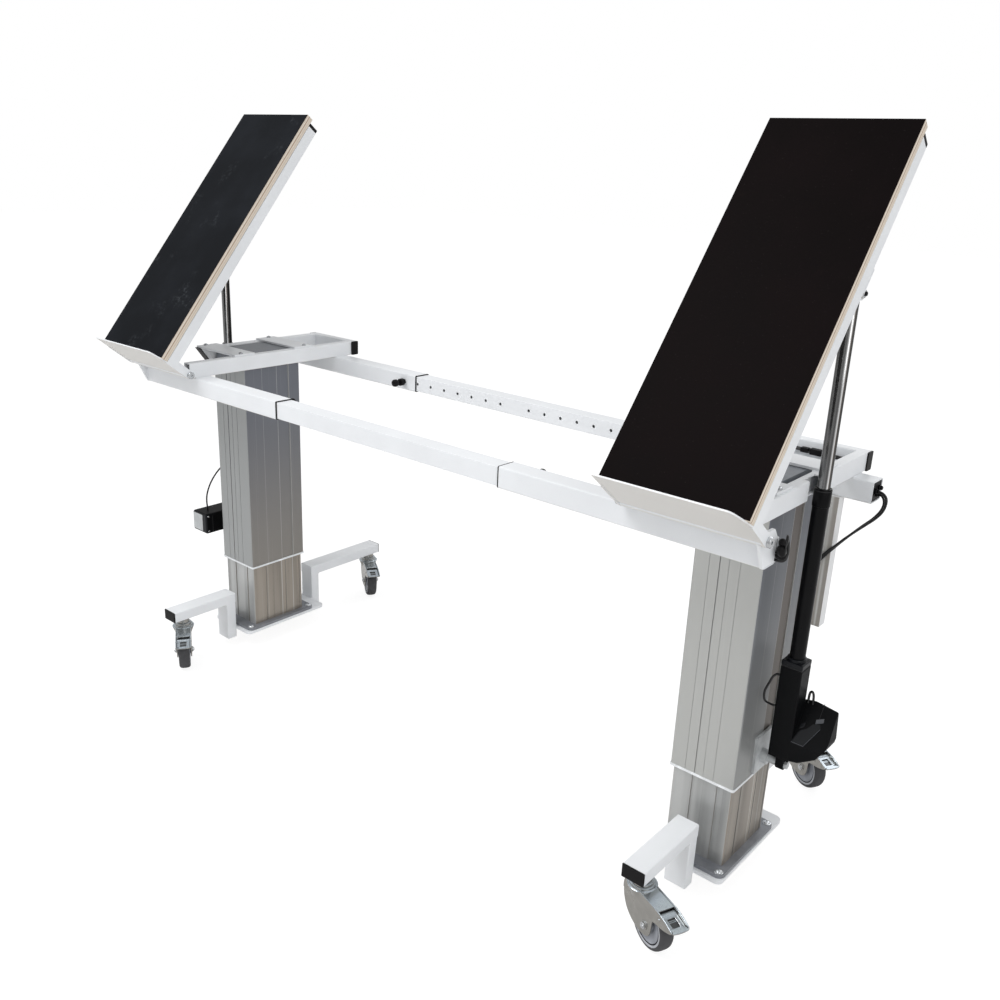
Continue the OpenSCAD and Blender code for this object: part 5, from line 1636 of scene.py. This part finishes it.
ROUTES: dict[str, list[Point]] = {
    "plug_low": [
        (900, 240, 812), (918, 240, 813), (931, 239, 812), (939, 236, 805), (941, 234, 793),
        (937, 231, 779), (926, 228, 762), (910, 225, 744), (894, 221, 725), (879, 213, 706),
        (868, 205, 691), (857, 201.8, 676), (847, 201.4, 662), (840, 203.0, 651), (836, 207.0, 644),
        (834, 213.0, 641),
    ],
    "plug_high": [
        (900, 231, 818), (920, 231, 820), (936, 230, 819), (946, 228, 811), (948, 225, 797),
        (944, 222, 782), (933, 219, 766), (917, 216, 749), (900, 213, 731), (884, 208, 713),
        (871, 203, 697), (858, 201.4, 682), (846, 201.2, 667), (837, 203.0, 656), (832.5, 207.0, 649),
        (830, 213.0, 646),
    ],
    "knot": [
        (905, -217.6, 816), (924, -217.6, 817), (932, -217, 824), (937, -216, 832), (937, -211, 838),
        (935, -204, 834), (934, -207, 824), (938, -215, 818), (942, -224, 822), (943, -228, 832),
        (941, -221, 841), (937, -211, 846), (934, -203, 840), (936, -201, 828), (940, -209, 814),
        (939, -216, 805), (928, -217.6, 801.9), (905, -217.6, 801.9),
    ],
    "deck_rear": [
        (726, 272, 862), (740, 272, 862), (764, 272, 863.5), (788, 272, 862), (812, 272, 861),
        (836, 272, 860),
    ],
    "deck_front": [
        (726, 266.5, 861), (740, 266.5, 860.5), (764, 266.5, 858.5), (788, 266.5, 858.5), (812, 266.5, 859),
        (836, 266.5, 858),
    ],
    "housing": [
        (877.5, -8, 486), (872, -9, 485), (867.5, -14, 480), (866, -22, 472), (865.5, -36, 462),
        (865.5, -40.5, 452), (866, -36, 438), (867, -25, 428), (871, -13, 420), (874, -9, 417.5),
        (877.5, -8, 417),
    ],
    "motor": [
        (925, 38, 424), (925, 38, 436), (926, 38, 446), (929.5, 38, 450), (933, 38, 446), (934.5, 38, 436),
        (934.5, 38, 424),
    ],
    "left": [
        (-934.5, -88, 369), (-934.5, -88.5, 378), (-934.5, -90, 398), (-934.5, -88, 420),
        (-934.5, -78, 446), (-934.5, -62, 470), (-934.5, -42, 490), (-934.5, -24, 501), (-934.5, -15, 503),
        (-934.5, -10, 503),
    ],
}


@dataclass
class Cables:
    """Cables of the table, along the routes of their CAD solids.

    The two from the rear plug leave the CAD's route at their ends and enter the holder's front.
    """

    thin: float = 2.6
    motor: float = 2.4

    def build(self) -> None:
        """Makes the cables of the frame and of both actuators."""
        names = ("plug_low", "plug_high", "knot", "deck_rear", "deck_front")
        parts = [*(self.cable(name, 5, self.thin) for name in names), *self.connectors()]
        settle(parts, "cables", "frame_right", "cable_black", ["cables_right"])
        for side, names in ((Side.RIGHT, ("housing", "motor")), (Side.LEFT, ("left",))):
            word = side.word
            replaced = "cable_loop_right" if side is Side.RIGHT else "cable_left"
            parts = [self.cable(name, 6, self.motor) for name in names]
            settle(parts, "motor_cable_" + word, "actuator_" + word, "cable_black", [replaced])

    def cable(self, name: str, steps: int, radius: float) -> Piece:
        """One cable along its route, with some steps for each span."""
        return tube(smooth_line(ROUTES[name], steps), radius, "cable", 3)

    def connectors(self) -> Pieces:
        """Three moulded connectors in the knot at the front crossbar, and two on the deck's cables.

        Yields:
            The parts.
        """
        profile = [
            (0, -10), (2.7, -10), (4.6, -9.4), (6.2, -7), (6.8, -3), (6.8, 4), (5.8, 7), (4.2, 9),
            (2.6, 10), (0, 10),
        ]
        for at, tilt, turn in (
            ((936.0, -226.0, 838.0), 58.0, 20.0), ((937.5, -231.0, 825.0), 25.0, -30.0),
            ((935.0, -223.0, 813.0), 80.0, 65.0),
        ):
            turn = Matrix.Rotation(math.radians(turn), 4, "Z") @ Matrix.Rotation(math.radians(tilt), 4, "X")
            yield moved(turned(profile, "black", 28), Matrix.Translation(at) @ turn)
        for x0, x1, grow in ((742.0, 760.0, 0.0), (763.0, 789.0, 1.2)):
            low, high = (x0, 262.6 - grow, 856.0 - grow), (x1, 276.0 + grow, 866.4 + grow)
            yield block(low, high, "black", 1.8, 3)


def main() -> None:
    """Builds the studio and every sub-assembly."""
    logging.basicConfig(level=logging.INFO, format="%(message)s")
    Studio().build()
    Cables().build()
    CadDress().build()
    Caster("rf", Side.RIGHT, FRONT_STEM_Y, -23.5).build()
    Caster("rr", Side.RIGHT, REAR_STEM_Y, -29.5).build()
    Caster("lf", Side.LEFT, FRONT_STEM_Y, -33.0).build()
    Caster("lr", Side.LEFT, REAR_STEM_Y, -33.5).build()
    for side in Side:
        Foot(side).build()
        TopFrame(side).build()
        TiltBoard(side).build()
        Actuator(side).build()


if __name__ == "__main__":
    main()
